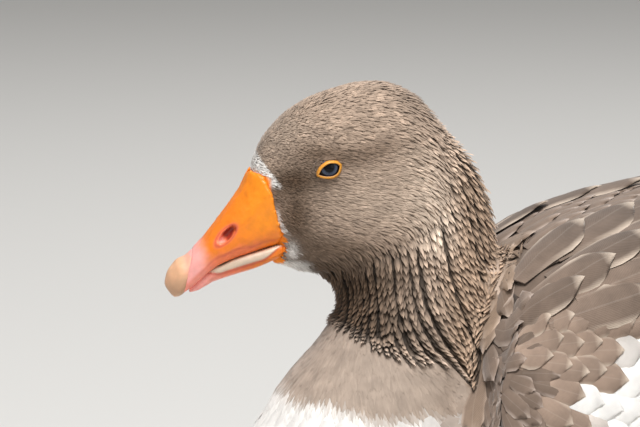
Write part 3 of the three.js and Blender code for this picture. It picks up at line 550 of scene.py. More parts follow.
# ---------- skin
@dataclass
class Skin:
    """The goose's skin in one piece under all its feathers, from the bill's base to the tail."""

    voxel: float = 2.5
    smoothing: int = 14
    settling: int = 3
    face_depth: float = 0.7
    crown_depth: float = 1.5
    mane_depth: float = 3.6
    body_depth: float = 3.4
    base_depth: float = 1.0
    # The skin is darkened where it shows between the feathers, and most in the mane's furrows: painted shade.
    bare_shade: float = 0.84
    furrow_shade: float = 0.30
    filled: tuple[str, ...] = ("eye_left", "eye_right", "eyelid_left", "eyelid_right")
    nodes: tuple[str, ...] = (
        "head", "neck_upper", "neck_lower", "breast", "trunk", "rump", "thigh_left", "thigh_right",
        "wing_left", "wing_right", "scapulars_left", "scapulars_right",
    )

    def depth(self, place: Place) -> Array:
        """How deep the skin lies under the coat's outer face at each place."""
        head = smooth(place.z, 222, 236)
        face = smooth(place.forward, 30, 60)
        on_head = mix(self.crown_depth, self.face_depth, face)
        on_head = mix(on_head, -0.15, smooth(place.on_bill(), -0.6, 0.6) * face)
        on_head = mix(on_head, self.mane_depth, place.mane())
        on_body = mix(self.body_depth, mix(self.base_depth, self.mane_depth, place.mane()), place.on_neck)
        return mix(on_body, on_head, head)

    def build(self) -> Piece:
        """Makes the skin from the flesh nodes, sinks it by the coat's depth, unwraps and paints it.

        Returns:
            The skin.
        """
        self.piece = shaped("skin", self.nodes + self.filled, self.voxel, self.smoothing)
        places, normals = surface_of(self.piece)
        inwards = self.depth(Place(places))[:, None] * MM
        places = places - normals * inwards
        places[:, 2] = np.maximum(places[:, 2], self.body_depth * 0.4 * MM)
        move_vertices(self.piece, places)
        soften(self.piece, self.settling)
        places = vertices_of(self.piece)
        for side in Side:
            places = Eye(side).bed(places)
        move_vertices(self.piece, places)
        self.unwrap()
        place = Place(places)
        silky = place.on_neck * smooth(place.z, 236, 226)
        # Painted shade: the skin between the feathers is darker, and darkest in the mane's furrows.
        shade = mix(mix(self.bare_shade, 0.98, silky), self.furrow_shade, place.mane())
        shade = mix(shade, 1.0, smooth(place.on_bill(), -0.4, 0.4) * smooth(place.forward, 55, 58))
        paint(self.piece, plumage_colour(places) * shade[:, None])
        self.measure()
        return self.piece

    def unwrap(self) -> None:
        """Unwraps the skin's own shape, which every feather's patch is placed on."""
        self.piece.data.uv_layers.new(name=UNWRAP)
        limit = math.radians(72)
        edit_whole(self.piece, lambda: bpy.ops.uv.smart_project(angle_limit=limit, island_margin=0.004))

    def measure(self) -> None:
        """Keeps the skin's triangles, their places in the unwrap and a tree to find the nearest of them."""
        mesh = self.piece.data
        mesh.calc_loop_triangles()
        self.triangles = read(mesh.loop_triangles, "vertices", 3, np.int32)
        loops = read(mesh.loop_triangles, "loops", 3, np.int32)
        unwrapped = read(mesh.uv_layers[UNWRAP].data, "uv", 2)
        self.points, self.facing = surface_of(self.piece)
        self.unwrapped = unwrapped[loops].mean(axis=1)
        a, b, c = (self.points[self.triangles[:, k]] for k in range(3))
        self.areas = 0.5 * np.linalg.norm(np.cross(b - a, c - a), axis=1) / MM ** 2
        self.centres = (a + b + c) / 3
        self.tree = BVHTree.FromPolygons(self.points.tolist(), self.triangles.tolist())

    def nearest(self, points: Array) -> tuple[Array, Array, Array]:
        """The skin's nearest points to some points.

        Args:
            points: the points, in metres.

        Returns:
            The nearest points, the smooth normals there and the triangles that they lie in.
        """
        found = [self.tree.find_nearest(point) for point in points.tolist()]
        places = np.array([hit[0] for hit in found])
        index = np.array([hit[2] for hit in found])
        return places, self.normal_at(places, index), index

    def normal_at(self, places: Array, index: Array) -> Array:
        """The skin's normals at places inside some of its triangles, blended between the corners."""
        corners = self.points[self.triangles[index]]
        weight = 1 / np.maximum(np.linalg.norm(corners - places[:, None, :], axis=2), 1e-6)
        weight /= weight.sum(axis=1, keepdims=True)
        return unit(np.sum(self.facing[self.triangles[index]] * weight[..., None], axis=1))

    def scatter(self, density: Callable[[Place], Array], rng: Chance) -> tuple[Array, Array, Array]:
        """Spreads roots evenly over the skin.

        Args:
            density: gives the roots for each square millimetre at a place.
            rng: the source of chance.

        Returns:
            The roots, the normals there and their triangles.
        """
        weight = np.cumsum(self.areas * density(Place(self.centres)))
        count = int(weight[-1])
        steps = (np.arange(count) + rng.random(count)) * weight[-1] / count
        index = np.minimum(np.searchsorted(weight, steps), len(weight) - 1)
        u, v = rng.random(count), rng.random(count)
        over = u + v > 1
        u, v = np.where(over, 1 - u, u)[:, None], np.where(over, 1 - v, v)[:, None]
        a, b, c = (self.points[self.triangles[index, k]] for k in range(3))
        roots = a + (b - a) * u + (c - a) * v
        return roots, self.normal_at(roots, index), index


# ---------- feathers
@dataclass(frozen=True)
class VaneForm:
    """How one kind of feather is cut: a closed arched vane with a rounded, ragged or pointed end."""

    across: tuple[float, ...]
    along: tuple[float, ...]
    root_width: float = 0.45
    widest: float = 0.5
    tip_width: float = 0.3
    roundness: float = 0.2
    arch: float = 0.35
    fray: float = 0.0
    pointed: bool = False
    # Colour runs from root_shade to tip_shade: on the small feathers the dark root is partly painted shade
    # under overlapping feathers and partly darker down, the pale tip their fringe; on the coverts, a pale
    # base and dark centre.
    root_shade: float = 0.5
    tip_shade: float = 1.15
    lift_power: float = 1.0

    def width_at(self, along: Array) -> Array:
        """The half-width at each place along the vane, as a share of the greatest."""
        rising = self.root_width + (1 - self.root_width) * smooth(along, 0, self.widest)
        past = np.clip((along - self.widest) / (1 - self.widest), 0, 1)
        falling = self.tip_width + (1 - self.tip_width) * np.sqrt(np.clip(1 - past ** 2, 0, 1))
        return np.where(along < self.widest, rising, falling)

    def grid(self) -> tuple[Array, Array, Array]:
        """The template's vertices: their places across and along it and their heights, for a size of 1."""
        across, along = np.meshgrid(self.across, self.along)
        if self.pointed:
            keep = len(self.across) * (len(self.along) - 1)
            across = np.append(across.ravel()[:keep], 0.0)
            along = np.append(along.ravel()[:keep], 1.0)
        across, along = across.ravel(), along.ravel()
        width = np.where(along < 1, self.width_at(along), 0.0 if self.pointed else self.tip_width)
        height = self.arch * width * (1 - across ** 2)
        fallen = along * (1 - self.roundness * across ** 2 * along ** 2)
        return across * width, fallen, height

    def rim(self) -> Array:
        """Which of the template's vertices lie on its edge, where its upper and lower sides meet."""
        across, along = np.meshgrid(self.across, self.along)
        edge = ((np.abs(across) == 1) | (along == 0) | (along == 1)).ravel()
        return np.append(edge[:edge.size - len(self.across)], True) if self.pointed else edge

    def faces(self) -> Array:
        """The template's triangles, its upper side facing up and its lower side closed."""
        wide, last = len(self.across) - 1, len(self.along) - 1
        rows = last - 1 if self.pointed else last
        faces: list[tuple[int, int, int]] = []

        def at(row: int, column: int) -> int:
            """The vertex at a row and a column."""
            return row * (wide + 1) + column

        for row in range(rows):
            for column in range(wide):
                a, b = at(row, column), at(row, column + 1)
                c, d = at(row + 1, column + 1), at(row + 1, column)
                faces += [(a, b, c), (a, c, d)]
            faces.append((at(row, 0), at(row + 1, wide), at(row, wide)))
            faces.append((at(row, 0), at(row + 1, 0), at(row + 1, wide)))
        for column in range(1, wide):
            faces.append((at(0, 0), at(0, column + 1), at(0, column)))
        if self.pointed:
            tip = at(rows + 1, 0)
            faces += [(at(rows, column), at(rows, column + 1), tip) for column in range(wide)]
            faces.append((at(rows, 0), tip, at(rows, wide)))
        else:
            faces += [(at(last, 0), at(last, c), at(last, c + 1)) for c in range(1, wide)]
        return np.array(faces, np.int64)


TUFT = VaneForm((-1, 0, 1), (0, 0.5, 1), root_width=0.6, widest=0.4, arch=0.55, pointed=True,
                root_shade=0.86, tip_shade=1.10)
STRAND = VaneForm((-1, 0, 1), (0, 0.4, 0.8, 1), root_width=0.8, widest=0.55, tip_width=0.7, arch=0.7,
                  pointed=True, root_shade=0.25, tip_shade=1.75)
DOWN = VaneForm((-1, 0, 1), (0, 0.45, 0.8, 1), root_width=0.6, widest=0.5, tip_width=0.5, roundness=0.25,
                arch=0.1, fray=0.11, root_shade=0.96, tip_shade=1.03)
BODY_VANE = VaneForm((-1, -0.66, -0.33, 0, 0.33, 0.66, 1), (0, 0.4, 0.75, 0.92, 1), root_width=0.55,
                     widest=0.55, tip_width=0.42, roundness=0.2, arch=0.16, fray=0.05, root_shade=0.86,
                     tip_shade=1.04, lift_power=1.3)
COVERT = VaneForm((-1, -0.9, -0.7, -0.35, 0, 0.35, 0.7, 0.9, 1), (0, 0.35, 0.6, 0.76, 0.86, 0.93, 0.975, 1),
                  root_width=0.62, widest=0.62, tip_width=0.22, roundness=0.12, arch=0.15, fray=0.012,
                  root_shade=1.5, tip_shade=0.8, lift_power=1.4)


@dataclass
class Spines:
    """The middle lines of many feathers: three points on the skin from root to tip, and their normals."""

    points: Array
    normals: Array

    def at(self, along: Array) -> tuple[Array, Array]:
        """The points and normals at each feather's places along its line.

        Args:
            along: shares of the length, one row for each feather.

        Returns:
            The points and the unit normals.
        """
        t = along[..., None]
        shares = ((1 - t) * (1 - 2 * t), 4 * t * (1 - t), t * (2 * t - 1))
        point = sum(self.points[:, k, None, :] * share for k, share in enumerate(shares))
        normal = sum(self.normals[:, k, None, :] * share for k, share in enumerate(shares))
        return point, unit(normal)

    def picked(self, chosen: Array) -> "Spines":
        """Some of the lines."""
        return Spines(self.points[chosen], self.normals[chosen])

    def sideways(self) -> Array:
        """The direction across each feather."""
        ahead = unit(self.points[:, 2] - self.points[:, 0])
        return unit(np.cross(ahead, unit(self.normals.sum(axis=1))))


@dataclass
class Plume:
    """One piece of plumage, put together from many feathers in arrays."""

    name: str
    most_bend: float = 4 * MM
    count: int = 0
    places: list[Array] = field(default_factory=list)
    faces: list[Array] = field(default_factory=list)
    colours: list[Array] = field(default_factory=list)
    patches: list[Array] = field(default_factory=list)
    vanes: list[Array] = field(default_factory=list)
    rims: list[Array] = field(default_factory=list)

    def grow(
        self, form: VaneForm, spines: Spines, half_width: Array, lifts: Array,
        colours: Array, patches: Array, rng: Chance,
        fringe: Array | None = None, tilt: float = 0.0, hug: Skin | None = None,
    ) -> None:
        """Adds a feather of one form on each spine.

        Args:
            form: the feathers' form.
            spines: their middle lines.
            half_width: each one's half-width, in metres.
            lifts: each one's height over the skin at its root and at its tip, in metres.
            colours: each one's colour.
            patches: each one's place in the skin's unwrap.
            rng: the source of chance.
            fringe: the colour of each one's edge, where it has a pale one.
            tilt: how far one edge may be raised over the other, as a share of the half-width.
            hug: the skin, where the feathers are wide enough to have to bend round it.
        """
        if len(half_width) == 0:
            return
        across, along, height = form.grid()
        n, size = len(half_width), len(across)
        places_along = np.tile(along, (n, 1))
        if form.fray:
            ragged = smooth(along, 0.7, 1.0) * form.fray
            teeth = np.where(np.arange(size) % 2 == 0, -0.5, 0.5)
            chance = rng.uniform(-0.9, 0.9, (n, size))
            places_along += ragged * (teeth + chance)
            apart = 0.01 * np.arange(len(form.along))[:, None]
            rows = places_along.reshape(n, len(form.along), -1)
            places_along = (np.maximum.accumulate(rows - apart, axis=1) + apart).reshape(n, size)
        point, normal = spines.at(places_along)
        sideways = spines.sideways()[:, None, :]
        wide = across[None, :, None] * half_width[:, None, None]
        risen = mix(lifts[:, :1], lifts[:, 1:], np.clip(places_along, 0, 1.2) ** form.lift_power)
        risen = risen + height * half_width[:, None]
        risen = risen + across * half_width[:, None] * rng.uniform(-tilt, tilt, (n, 1))
        flat = point + sideways * wide
        if hug:
            near, facing, _ = hug.nearest(flat.reshape(-1, 3))
            bend = near.reshape(flat.shape) - flat
            size_of = np.linalg.norm(bend, axis=-1, keepdims=True)
            flat = flat + bend * np.minimum(1.0, self.most_bend / np.maximum(size_of, 1e-9))
            normal = unit(normal + facing.reshape(flat.shape))
        places = flat + normal * risen[..., None]
        # Darker roots are partly painted shade under the feathers that overlap them.
        shade = mix(form.root_shade, form.tip_shade, along)
        painted = colours[:, None, :] * shade[None, :, None]
        if fringe is not None:
            width = np.maximum(form.width_at(np.minimum(along, 0.999)), 1e-3)
            at_edge = np.clip(np.abs(across) / width, 0, 1) ** 2
            beside = smooth(at_edge, 0.55, 0.95) * smooth(along, 0.2, 0.6)
            outer = np.maximum(beside, smooth(along, 0.88, 0.96))
            painted = mix(painted, fringe[:, None, :], outer[None, :, None] * 0.9)
        faces = form.faces()
        offsets = (np.arange(n) * size)[:, None, None] + self.count
        self.places.append(places.reshape(-1, 3))
        self.faces.append((faces[None] + offsets).reshape(-1, 3))
        self.colours.append(painted.reshape(-1, 3))
        small = np.stack([across, along - 0.5], -1)[faces].reshape(-1, 2) * 0.0015
        self.patches.append((patches[:, None, :] + small[None]).reshape(-1, 2))
        spread = np.stack([across * 0.5 + 0.5, along], -1)[faces].reshape(-1, 2)
        self.vanes.append(np.tile(spread, (n, 1)))
        self.rims.append(np.tile(form.rim(), n))
        self.count += n * size

    def build(self, material: Material) -> Piece:
        """Makes the piece's mesh.

        Args:
            material: its finish.

        Returns:
            The piece.
        """
        places, faces = np.vstack(self.places), np.vstack(self.faces)
        mesh = bpy.data.meshes.new(self.name)
        mesh.vertices.add(len(places))
        mesh.vertices.foreach_set("co", places.astype(np.float32).ravel())
        mesh.loops.add(faces.size)
        mesh.loops.foreach_set("vertex_index", faces.astype(np.int32).ravel())
        mesh.polygons.add(len(faces))
        mesh.polygons.foreach_set("loop_start", np.arange(0, faces.size, 3, dtype=np.int32))
        mesh.polygons.foreach_set("use_smooth", np.ones(len(faces), bool))
        mesh.update(calc_edges=True)
        rims = np.concatenate(self.rims)[read(mesh.edges, "vertices", 2, np.int32)].all(axis=1)
        mesh.attributes.new("sharp_edge", "BOOLEAN", "EDGE").data.foreach_set("value", rims)
        for name, corners in ((UNWRAP, self.patches), (VANE_MAP, self.vanes)):
            layer = mesh.uv_layers.new(name=name)
            layer.data.foreach_set("uv", np.vstack(corners).astype(np.float32).ravel())
        mesh.materials.append(material)
        piece = bpy.data.objects.new(self.name, mesh)
        bpy.context.scene.collection.objects.link(piece)
        paint(piece, np.vstack(self.colours))
        return piece


# ---------- lie of the coat
@dataclass
class Lie:
    """The way the plumage lies: backwards over the head, down the neck and back along the body."""

    skin: Skin
    head_fall: float = 0.22
    upper_slant: float = 0.14
    lower_slant: float = 0.72
    back_sink: float = -0.10
    breast_sink: float = -0.75
    shoulder_x: float = -221.0
    shoulder_z: float = 201.0
    turning: float = 0.6

    def direction(self, points: Array, normals: Array) -> Array:
        """The direction that a feather rooted at each point takes over the skin.

        Args:
            points: the points, in metres.
            normals: the skin's normals there.

        Returns:
            The unit directions.
        """
        place = Place(points)
        none = np.zeros(len(points))
        ahead = np.stack([-np.cos(place.turned), np.sin(place.turned), none], -1)
        up = np.array([0.0, 0.0, 1.0])
        edge = MANE_EDGE.at(place.z)[:, 0]
        fall = smooth(edge - place.forward, -24, 12)
        fall = np.maximum(fall, smooth(place.z, 232, 224))[:, None]
        low = smooth(place.z, 232, 182) * smooth(place.forward, 24, -8)
        slant = mix(self.upper_slant, self.lower_slant, low)[:, None]
        head = -ahead * mix(1.0, slant, fall) - up * mix(self.head_fall, 1.0, fall)
        sink = mix(self.back_sink, self.breast_sink, smooth(place.x, -150, -235))
        trunk = np.stack([none + 1.0, none, sink], -1)
        from_shoulder = unit(np.stack([place.x - self.shoulder_x, none, place.z - self.shoulder_z], -1))
        fan = smooth(place.x, -145, -168) * smooth(place.side, 45, 62) * smooth(place.z, 138, 158)
        trunk = mix(trunk, from_shoulder, fan[:, None])
        return along_surface(mix(trunk, head, place.on_neck[:, None]), normals)

    def spines(self, roots: Array, normals: Array, lengths: Array, rng: Chance, stray: float) -> Spines:
        """Lays a middle line over the skin from each root.

        Args:
            roots: the roots, in metres.
            normals: the skin's normals there.
            lengths: the feathers' lengths, in metres.
            rng: the source of chance.
            stray: how far a feather may turn aside, as a share of its length.

        Returns:
            The lines.
        """
        heading = self.direction(roots, normals)
        heading += np.cross(normals, heading) * rng.normal(0, stray, (len(roots), 1))
        half = lengths[:, None] / 2
        middle, middle_normals, _ = self.skin.nearest(roots + unit(heading) * half)
        there = self.direction(middle, middle_normals) * self.turning
        onward = unit(along_surface(heading, middle_normals) + there)
        tip, tip_normals, _ = self.skin.nearest(middle + onward * half)
        return Spines(np.stack([roots, middle, tip], 1), np.stack([normals, middle_normals, tip_normals], 1))


def mottle(points: Array, scale: float) -> Array:
    """A soft uneven pattern between about -1 and 1 with patches of about the given size in millimetres."""
    p = points / (MM * scale)
    a = np.sin(p[:, 0] * 2.1 + 1.7 * np.sin(p[:, 2] * 1.3) + 0.5)
    b = np.sin(p[:, 1] * 1.9 + 1.5 * np.sin(p[:, 0] * 1.1 + 2.0))
    c = np.sin(p[:, 2] * 2.3 + 1.9 * np.sin(p[:, 1] * 1.7 + 4.0))
    return (a * b + b * c + c * a) / 1.8


def thin_out(points: Array, spacing: Array, rng: Chance) -> Array:
    """Picks points so that none lies nearer to another than its spacing.

    Args:
        points: the candidates, in metres.
        spacing: the spacing at each, in metres.
        rng: the source of chance.

    Returns:
        The indexes of the points that stay.
    """
    tree = kdtree.KDTree(len(points))
    for index, point in enumerate(points.tolist()):
        tree.insert(point, index)
    tree.balance()
    free = np.ones(len(points), bool)
    kept = []
    for index in rng.permutation(len(points)).tolist():
        if not free[index]:
            continue
        kept.append(index)
        for _, near, _ in tree.find_range(points[index].tolist(), float(spacing[index])):
            free[near] = False
    return np.array(kept)


def lifted(root: Array, tip: Array) -> Array:
    """Each feather's height over the skin at its root and at its tip, in metres, from millimetres."""
    return np.stack(np.broadcast_arrays(root, tip), 1) * MM


def varied(colours: Array, rng: Chance, amount: float) -> Array:
    """The colours, each made lighter or darker by chance."""
    return colours * np.exp(rng.normal(0, amount, (len(colours), 1)))


@dataclass
class HeadCoat:
    """The short tufts of the head: tiny on the lores, fine on the cheek and longer towards the nape."""

    eye_forward: float = 42.2
    eye_z: float = 279.0
    lid_long: float = 6.3
    lid_high: float = 4.3
    lid_tilt: float = -10.0
    root_share: float = 0.94
    tip_share: float = 0.93
    coverage: float = 3.6
    root_lift: float = 0.05
    stray: float = 0.16

    def bare(self, place: Place, share: float) -> Array:
        """Whether each point is on the bill or inside a share of the eyelids' outline."""
        bill = (place.on_bill() > 0) & (place.z > 232.2)
        along, across = turned(place.forward - self.eye_forward, place.z - self.eye_z, self.lid_tilt)
        eye = np.hypot(along / self.lid_long, across / self.lid_high) < share
        return bill | eye

    def regions(self, place: Place) -> tuple[Array, Array]:
        """How far each point belongs to the crown, and to the back of the head by the mane."""
        back = smooth(MANE_EDGE.at(place.z)[:, 0] - place.forward, -26, 6)
        return smooth(place.z, 280, 298), back

    def size(self, place: Place) -> tuple[Array, Array]:
        """The length and width of the tufts at each place, in millimetres."""
        crown, back = self.regions(place)
        face = smooth(place.forward, 36, 60)
        length = mix(mix(mix(4.6, 4.0, crown), 2.2, face), 6.2, back)
        width = mix(mix(mix(0.72, 1.15, crown), 0.72, face), 1.4, back)
        return length, width

    def density(self, place: Place) -> Array:
        """The tufts for each square millimetre."""
        length, width = self.size(place)
        head = smooth(place.z, 222, 227) * (place.on_neck > 0.45) * (place.mane() < 0.75)
        return head * ~self.bare(place, self.root_share) * self.coverage / (length * width)

    def build(self, skin: Skin, lie: Lie, material: Material) -> None:
        """Grows the head's coat in a left and a right piece."""
        rng = np.random.default_rng(11)
        roots, normals, index = skin.scatter(self.density, rng)
        length, width = self.size(Place(roots))
        length = length * rng.uniform(0.8, 1.2, len(roots))
        spines = lie.spines(roots, normals, length * MM, rng, self.stray)
        clear = ~self.bare(Place(roots), 1.0)
        clear &= ~self.bare(Place(spines.points[:, 2]), self.tip_share)
        place = Place(roots)
        crown, back = self.regions(place)
        risen = mix(mix(0.66, 0.85, crown), 3.0, back) * rng.uniform(0.6, 1.3, len(roots))
        clumps = mottle(roots, 2.6) * mix(0.06, 0.17, np.maximum(crown, back))
        colours = plumage_colour(roots) * (1 + clumps[:, None])
        colours = varied(colours, rng, 0.12)
        for side in Side:
            chosen = clear & (np.sign(place.right) == side)
            plume = Plume(f"coat_head_{side.label}")
            plume.grow(TUFT, spines.picked(chosen), width[chosen] * MM / 2,
                       lifted(self.root_lift, risen[chosen]), colours[chosen],
                       skin.unwrapped[index[chosen]], rng, tilt=0.3)
            finish_piece(plume.build(material))


@dataclass
class Mane:
    """The ridged neck feathers: rows of clumps of pointed strands that run down the neck and back."""

    pitch: float = 5.9
    step: float = 3.9
    length: float = 7.8
    lift: float = 2.2
    ridge: float = 3.0
    strands: int = 5
    spread: float = 0.29
    strand_width: float = 0.29
    seed_gap: float = 0.45
    first_gap: float = 0.56
    next_gap: float = 0.44
    edge: float = 0.25
    stray: float = 0.07

    def build(self, skin: Skin, lie: Lie, material: Material) -> None:
        """Grows the clumps of every row."""
        rng = np.random.default_rng(23)
        clumps, facing, scale = self.rows(skin, lie, rng)
        heading = lie.direction(clumps, facing)
        beside = np.cross(facing, heading)
        each = np.repeat(np.arange(len(clumps)), self.strands)
        aside = np.tile(np.linspace(-1, 1, self.strands), len(clumps))
        scale, count = scale[each], len(each)
        offset = aside * self.spread * self.pitch * scale + rng.normal(0, 0.08, count)
        start = clumps[each] + beside[each] * (offset * MM)[:, None]
        start += heading[each] * (rng.uniform(-0.3, 0.3, count) * MM)[:, None]
        roots, normals, index = skin.nearest(start)
        length = self.length * scale * rng.uniform(0.82, 1.14, count) * (1 - 0.12 * np.abs(aside))
        spines = lie.spines(roots, normals, length * MM, rng, self.stray)
        crest = self.ridge * scale * (1 - 0.8 * aside ** 2)
        raised = self.lift * scale * rng.uniform(0.6, 1.35, len(clumps))[each]
        raised = raised * (1 - 0.35 * np.abs(aside)) * rng.uniform(0.7, 1.25, count)
        raised = raised * mix(1.0, 1.6, smooth(Place(roots).z, 258, 285))
        # Each clump's own tone, with its outer strands darkened as painted shade between the clumps.
        tone_and_shade = np.exp(rng.normal(0, 0.12, len(clumps)))[each] * mix(1.12, 0.2, np.abs(aside) ** 1.3)
        colours = varied(plumage_colour(roots) * tone_and_shade[:, None], rng, 0.06)
        half = self.pitch * self.strand_width * scale * rng.uniform(0.85, 1.2, count) / 2
        plume = Plume("coat_mane")
        plume.grow(STRAND, spines, half * MM, lifted(0.35 * crest, crest + raised), colours,
                   skin.unwrapped[index], rng, tilt=0.3)
        finish_piece(plume.build(material))

    def size(self, points: Array) -> Array:
        """The size of a clump at each point, as a share of the largest."""
        place = Place(points)
        scale = mix(0.62, 1.0, place.mane()) * mix(0.62, 1.0, smooth(place.z, 300, 262))
        scale *= mix(1.0, 0.82, smooth(place.z, 212, 190))
        return scale * mix(1.0, 0.62, smooth(place.forward, 12, 36))

    def rows(self, skin: Skin, lie: Lie, rng: Chance) -> tuple[Array, Array, Array]:
        """Sets the clumps out in rows that follow the lie of the coat and keep an even distance.

        Args:
            skin: the skin.
            lie: the lie of the coat.
            rng: the source of chance.

        Returns:
            The clumps' places, the skin's normals there and their sizes.
        """
        seeds = skin.centres[Place(skin.centres).mane() > 0.3]
        seeds = seeds[thin_out(seeds, np.full(len(seeds), self.seed_gap * self.pitch * MM), rng)]
        laid = np.zeros((0, 3))
        kept: list[tuple[Array, Array, float]] = []
        for seed in seeds[np.argsort(-seeds[:, 2])]:
            row: list[tuple[Array, Array, float]] = []
            point, gap = seed[None], self.first_gap
            while True:
                point, normal, _ = skin.nearest(point)
                scale = float(self.size(point)[0])
                nearest = np.linalg.norm(laid - point, axis=1).min() if len(laid) else 1.0
                here = Place(point)
                outside = here.mane()[0] < self.edge or here.from_axis[0] > 1.12
                if nearest < gap * self.pitch * scale * MM or outside:
                    break
                row.append((point[0], normal[0], scale))
                point = point + lie.direction(point, normal) * self.step * scale * MM
                gap = self.next_gap
            if len(row) > 1:
                laid = np.vstack([laid, [clump[0] for clump in row]])
                kept += row
        return tuple(np.array(part) for part in zip(*kept))


@dataclass
class NeckBaseCoat:
    """The fine silky feathers of the lower neck, below the ridges and above the breast."""

    length: float = 10.5
    width: float = 2.1
    coverage: float = 7.4
    lift: float = 0.32
    root_lift: float = 0.1
    stray: float = 0.10

    def build(self, skin: Skin, lie: Lie, material: Material) -> None:
        """Grows the coat of the lower neck."""
        rng = np.random.default_rng(37)

        def density(place: Place) -> Array:
            """The feathers for each square millimetre."""
            band = smooth(place.z, 250, 236) * smooth(place.on_neck, 0.25, 0.6)
            band = band * smooth(place.mane(), 0.9, 0.4) * (place.x < -176)
            return band * self.coverage / (self.length * self.width)

        roots, normals, index = skin.scatter(density, rng)
        length = self.length * rng.uniform(0.8, 1.2, len(roots))
        width = self.width * rng.uniform(0.85, 1.2, len(roots))
        spines = lie.spines(roots, normals, length * MM, rng, self.stray)
        ripple = 1 + 0.25 * np.sin(Place(roots).z * 0.9 + 1.6 * mottle(roots, 14.0))
        lifts = lifted(self.root_lift, self.lift * ripple * rng.uniform(0.8, 1.15, len(roots)))
        colours = plumage_colour(spines.points[:, 1]) * (1 + 0.05 * mottle(roots, 6.0)[:, None])
        colours = varied(colours, rng, 0.045)
        plume = Plume("coat_neck_base")
        plume.grow(DOWN, spines, width * MM / 2, lifts, colours, skin.unwrapped[index], rng)
        finish_piece(plume.build(material))


def greyness(colours: Array) -> Array:
    """How far each colour is from the white feathers', from 0 to 1."""
    return 1 - smooth(colours[:, 2], 0.3, 0.6)


def folded_wing(place: Place) -> Array:
    """Whether each place lies under the feathers of a folded wing."""
    angle = place.from_top()
    return (place.x > -178) & (place.x < 84) & (angle > 16) & (angle < 92) & (place.on_neck < 0.5)


@dataclass
class BodyCoat:
    """The rounded contour feathers of the breast, belly, back, flanks and rump."""

    breast_spacing: float = 5.6
    body_spacing: float = 8.2
    candidates: float = 0.10
    parted_x: float = -30.0
    length: float = 3.1
    half_width: float = 0.98
    root_lift: float = 0.4
    breast_root_lift: float = -0.3
    tip_lift: float = 3.2
    breast_tip_lift: float = 2.4
    belly_tip_lift: float = 1.6
    back_tip_lift: float = 2.0
    shoulder_tip_lift: float = 1.5
    stray: float = 0.10

    def build(self, skin: Skin, lie: Lie, material: Material) -> None:
        """Grows the body's coat in a front and a rear piece."""
        rng = np.random.default_rng(41)

        def density(place: Place) -> Array:
            """The candidates for each square millimetre."""
            body = ((place.on_neck < 0.75) | (place.x > -178)) & (place.z < 226 + 60 * (place.x > -180))
            return np.where(body & ~folded_wing(place), self.candidates, 0.0)

        roots, normals, index = skin.scatter(density, rng)
        place = Place(roots)
        front = smooth(place.x, -185, -250)
        shoulder = smooth(place.x, -150, -172) * (place.side > 50) * smooth(place.z, 130, 150)
        spacing = mix(self.body_spacing, self.breast_spacing, np.maximum(front, shoulder))
        spacing = spacing * rng.uniform(0.9, 1.1, len(roots))
        kept = thin_out(roots, spacing * MM, rng)
        roots, normals, index, spacing = roots[kept], normals[kept], index[kept], spacing[kept]
        place, front, shoulder = Place(roots), front[kept], shoulder[kept]
        length = spacing * self.length * rng.uniform(0.9, 1.12, len(roots))
        spines = lie.spines(roots, normals, length * MM, rng, self.stray)
        half = spacing * self.half_width * MM
        tips = mix(self.tip_lift, self.breast_tip_lift, front)
        tips = mix(tips, self.belly_tip_lift, smooth(place.z, 30, 8))
        tips = mix(tips, self.back_tip_lift, smooth(place.z, 190, 215)) * rng.uniform(0.8, 1.2, len(roots))
        tips = mix(tips, self.shoulder_tip_lift, shoulder)
        lifts = lifted(mix(self.root_lift, self.breast_root_lift, front), tips)
        colours = varied(plumage_colour(spines.points[:, 0] * 0.7 + spines.points[:, 1] * 0.3), rng, 0.03)
        grey = greyness(colours) * smooth(place.x, -202, -192)
        fringe = mix(colours, np.minimum(colours * 1.7 + 0.18, 0.9), (0.9 * grey)[:, None])
        ahead = roots[:, 0] < self.parted_x * MM
        for name, chosen in (("front", ahead), ("rear", ~ahead)):
            plume = Plume(f"coat_body_{name}")
            plume.grow(BODY_VANE, spines.picked(chosen), half[chosen], lifts[chosen], colours[chosen],
                       skin.unwrapped[index[chosen]], rng, fringe=fringe[chosen], tilt=0.06, hug=skin)
            finish_piece(plume.build(material))


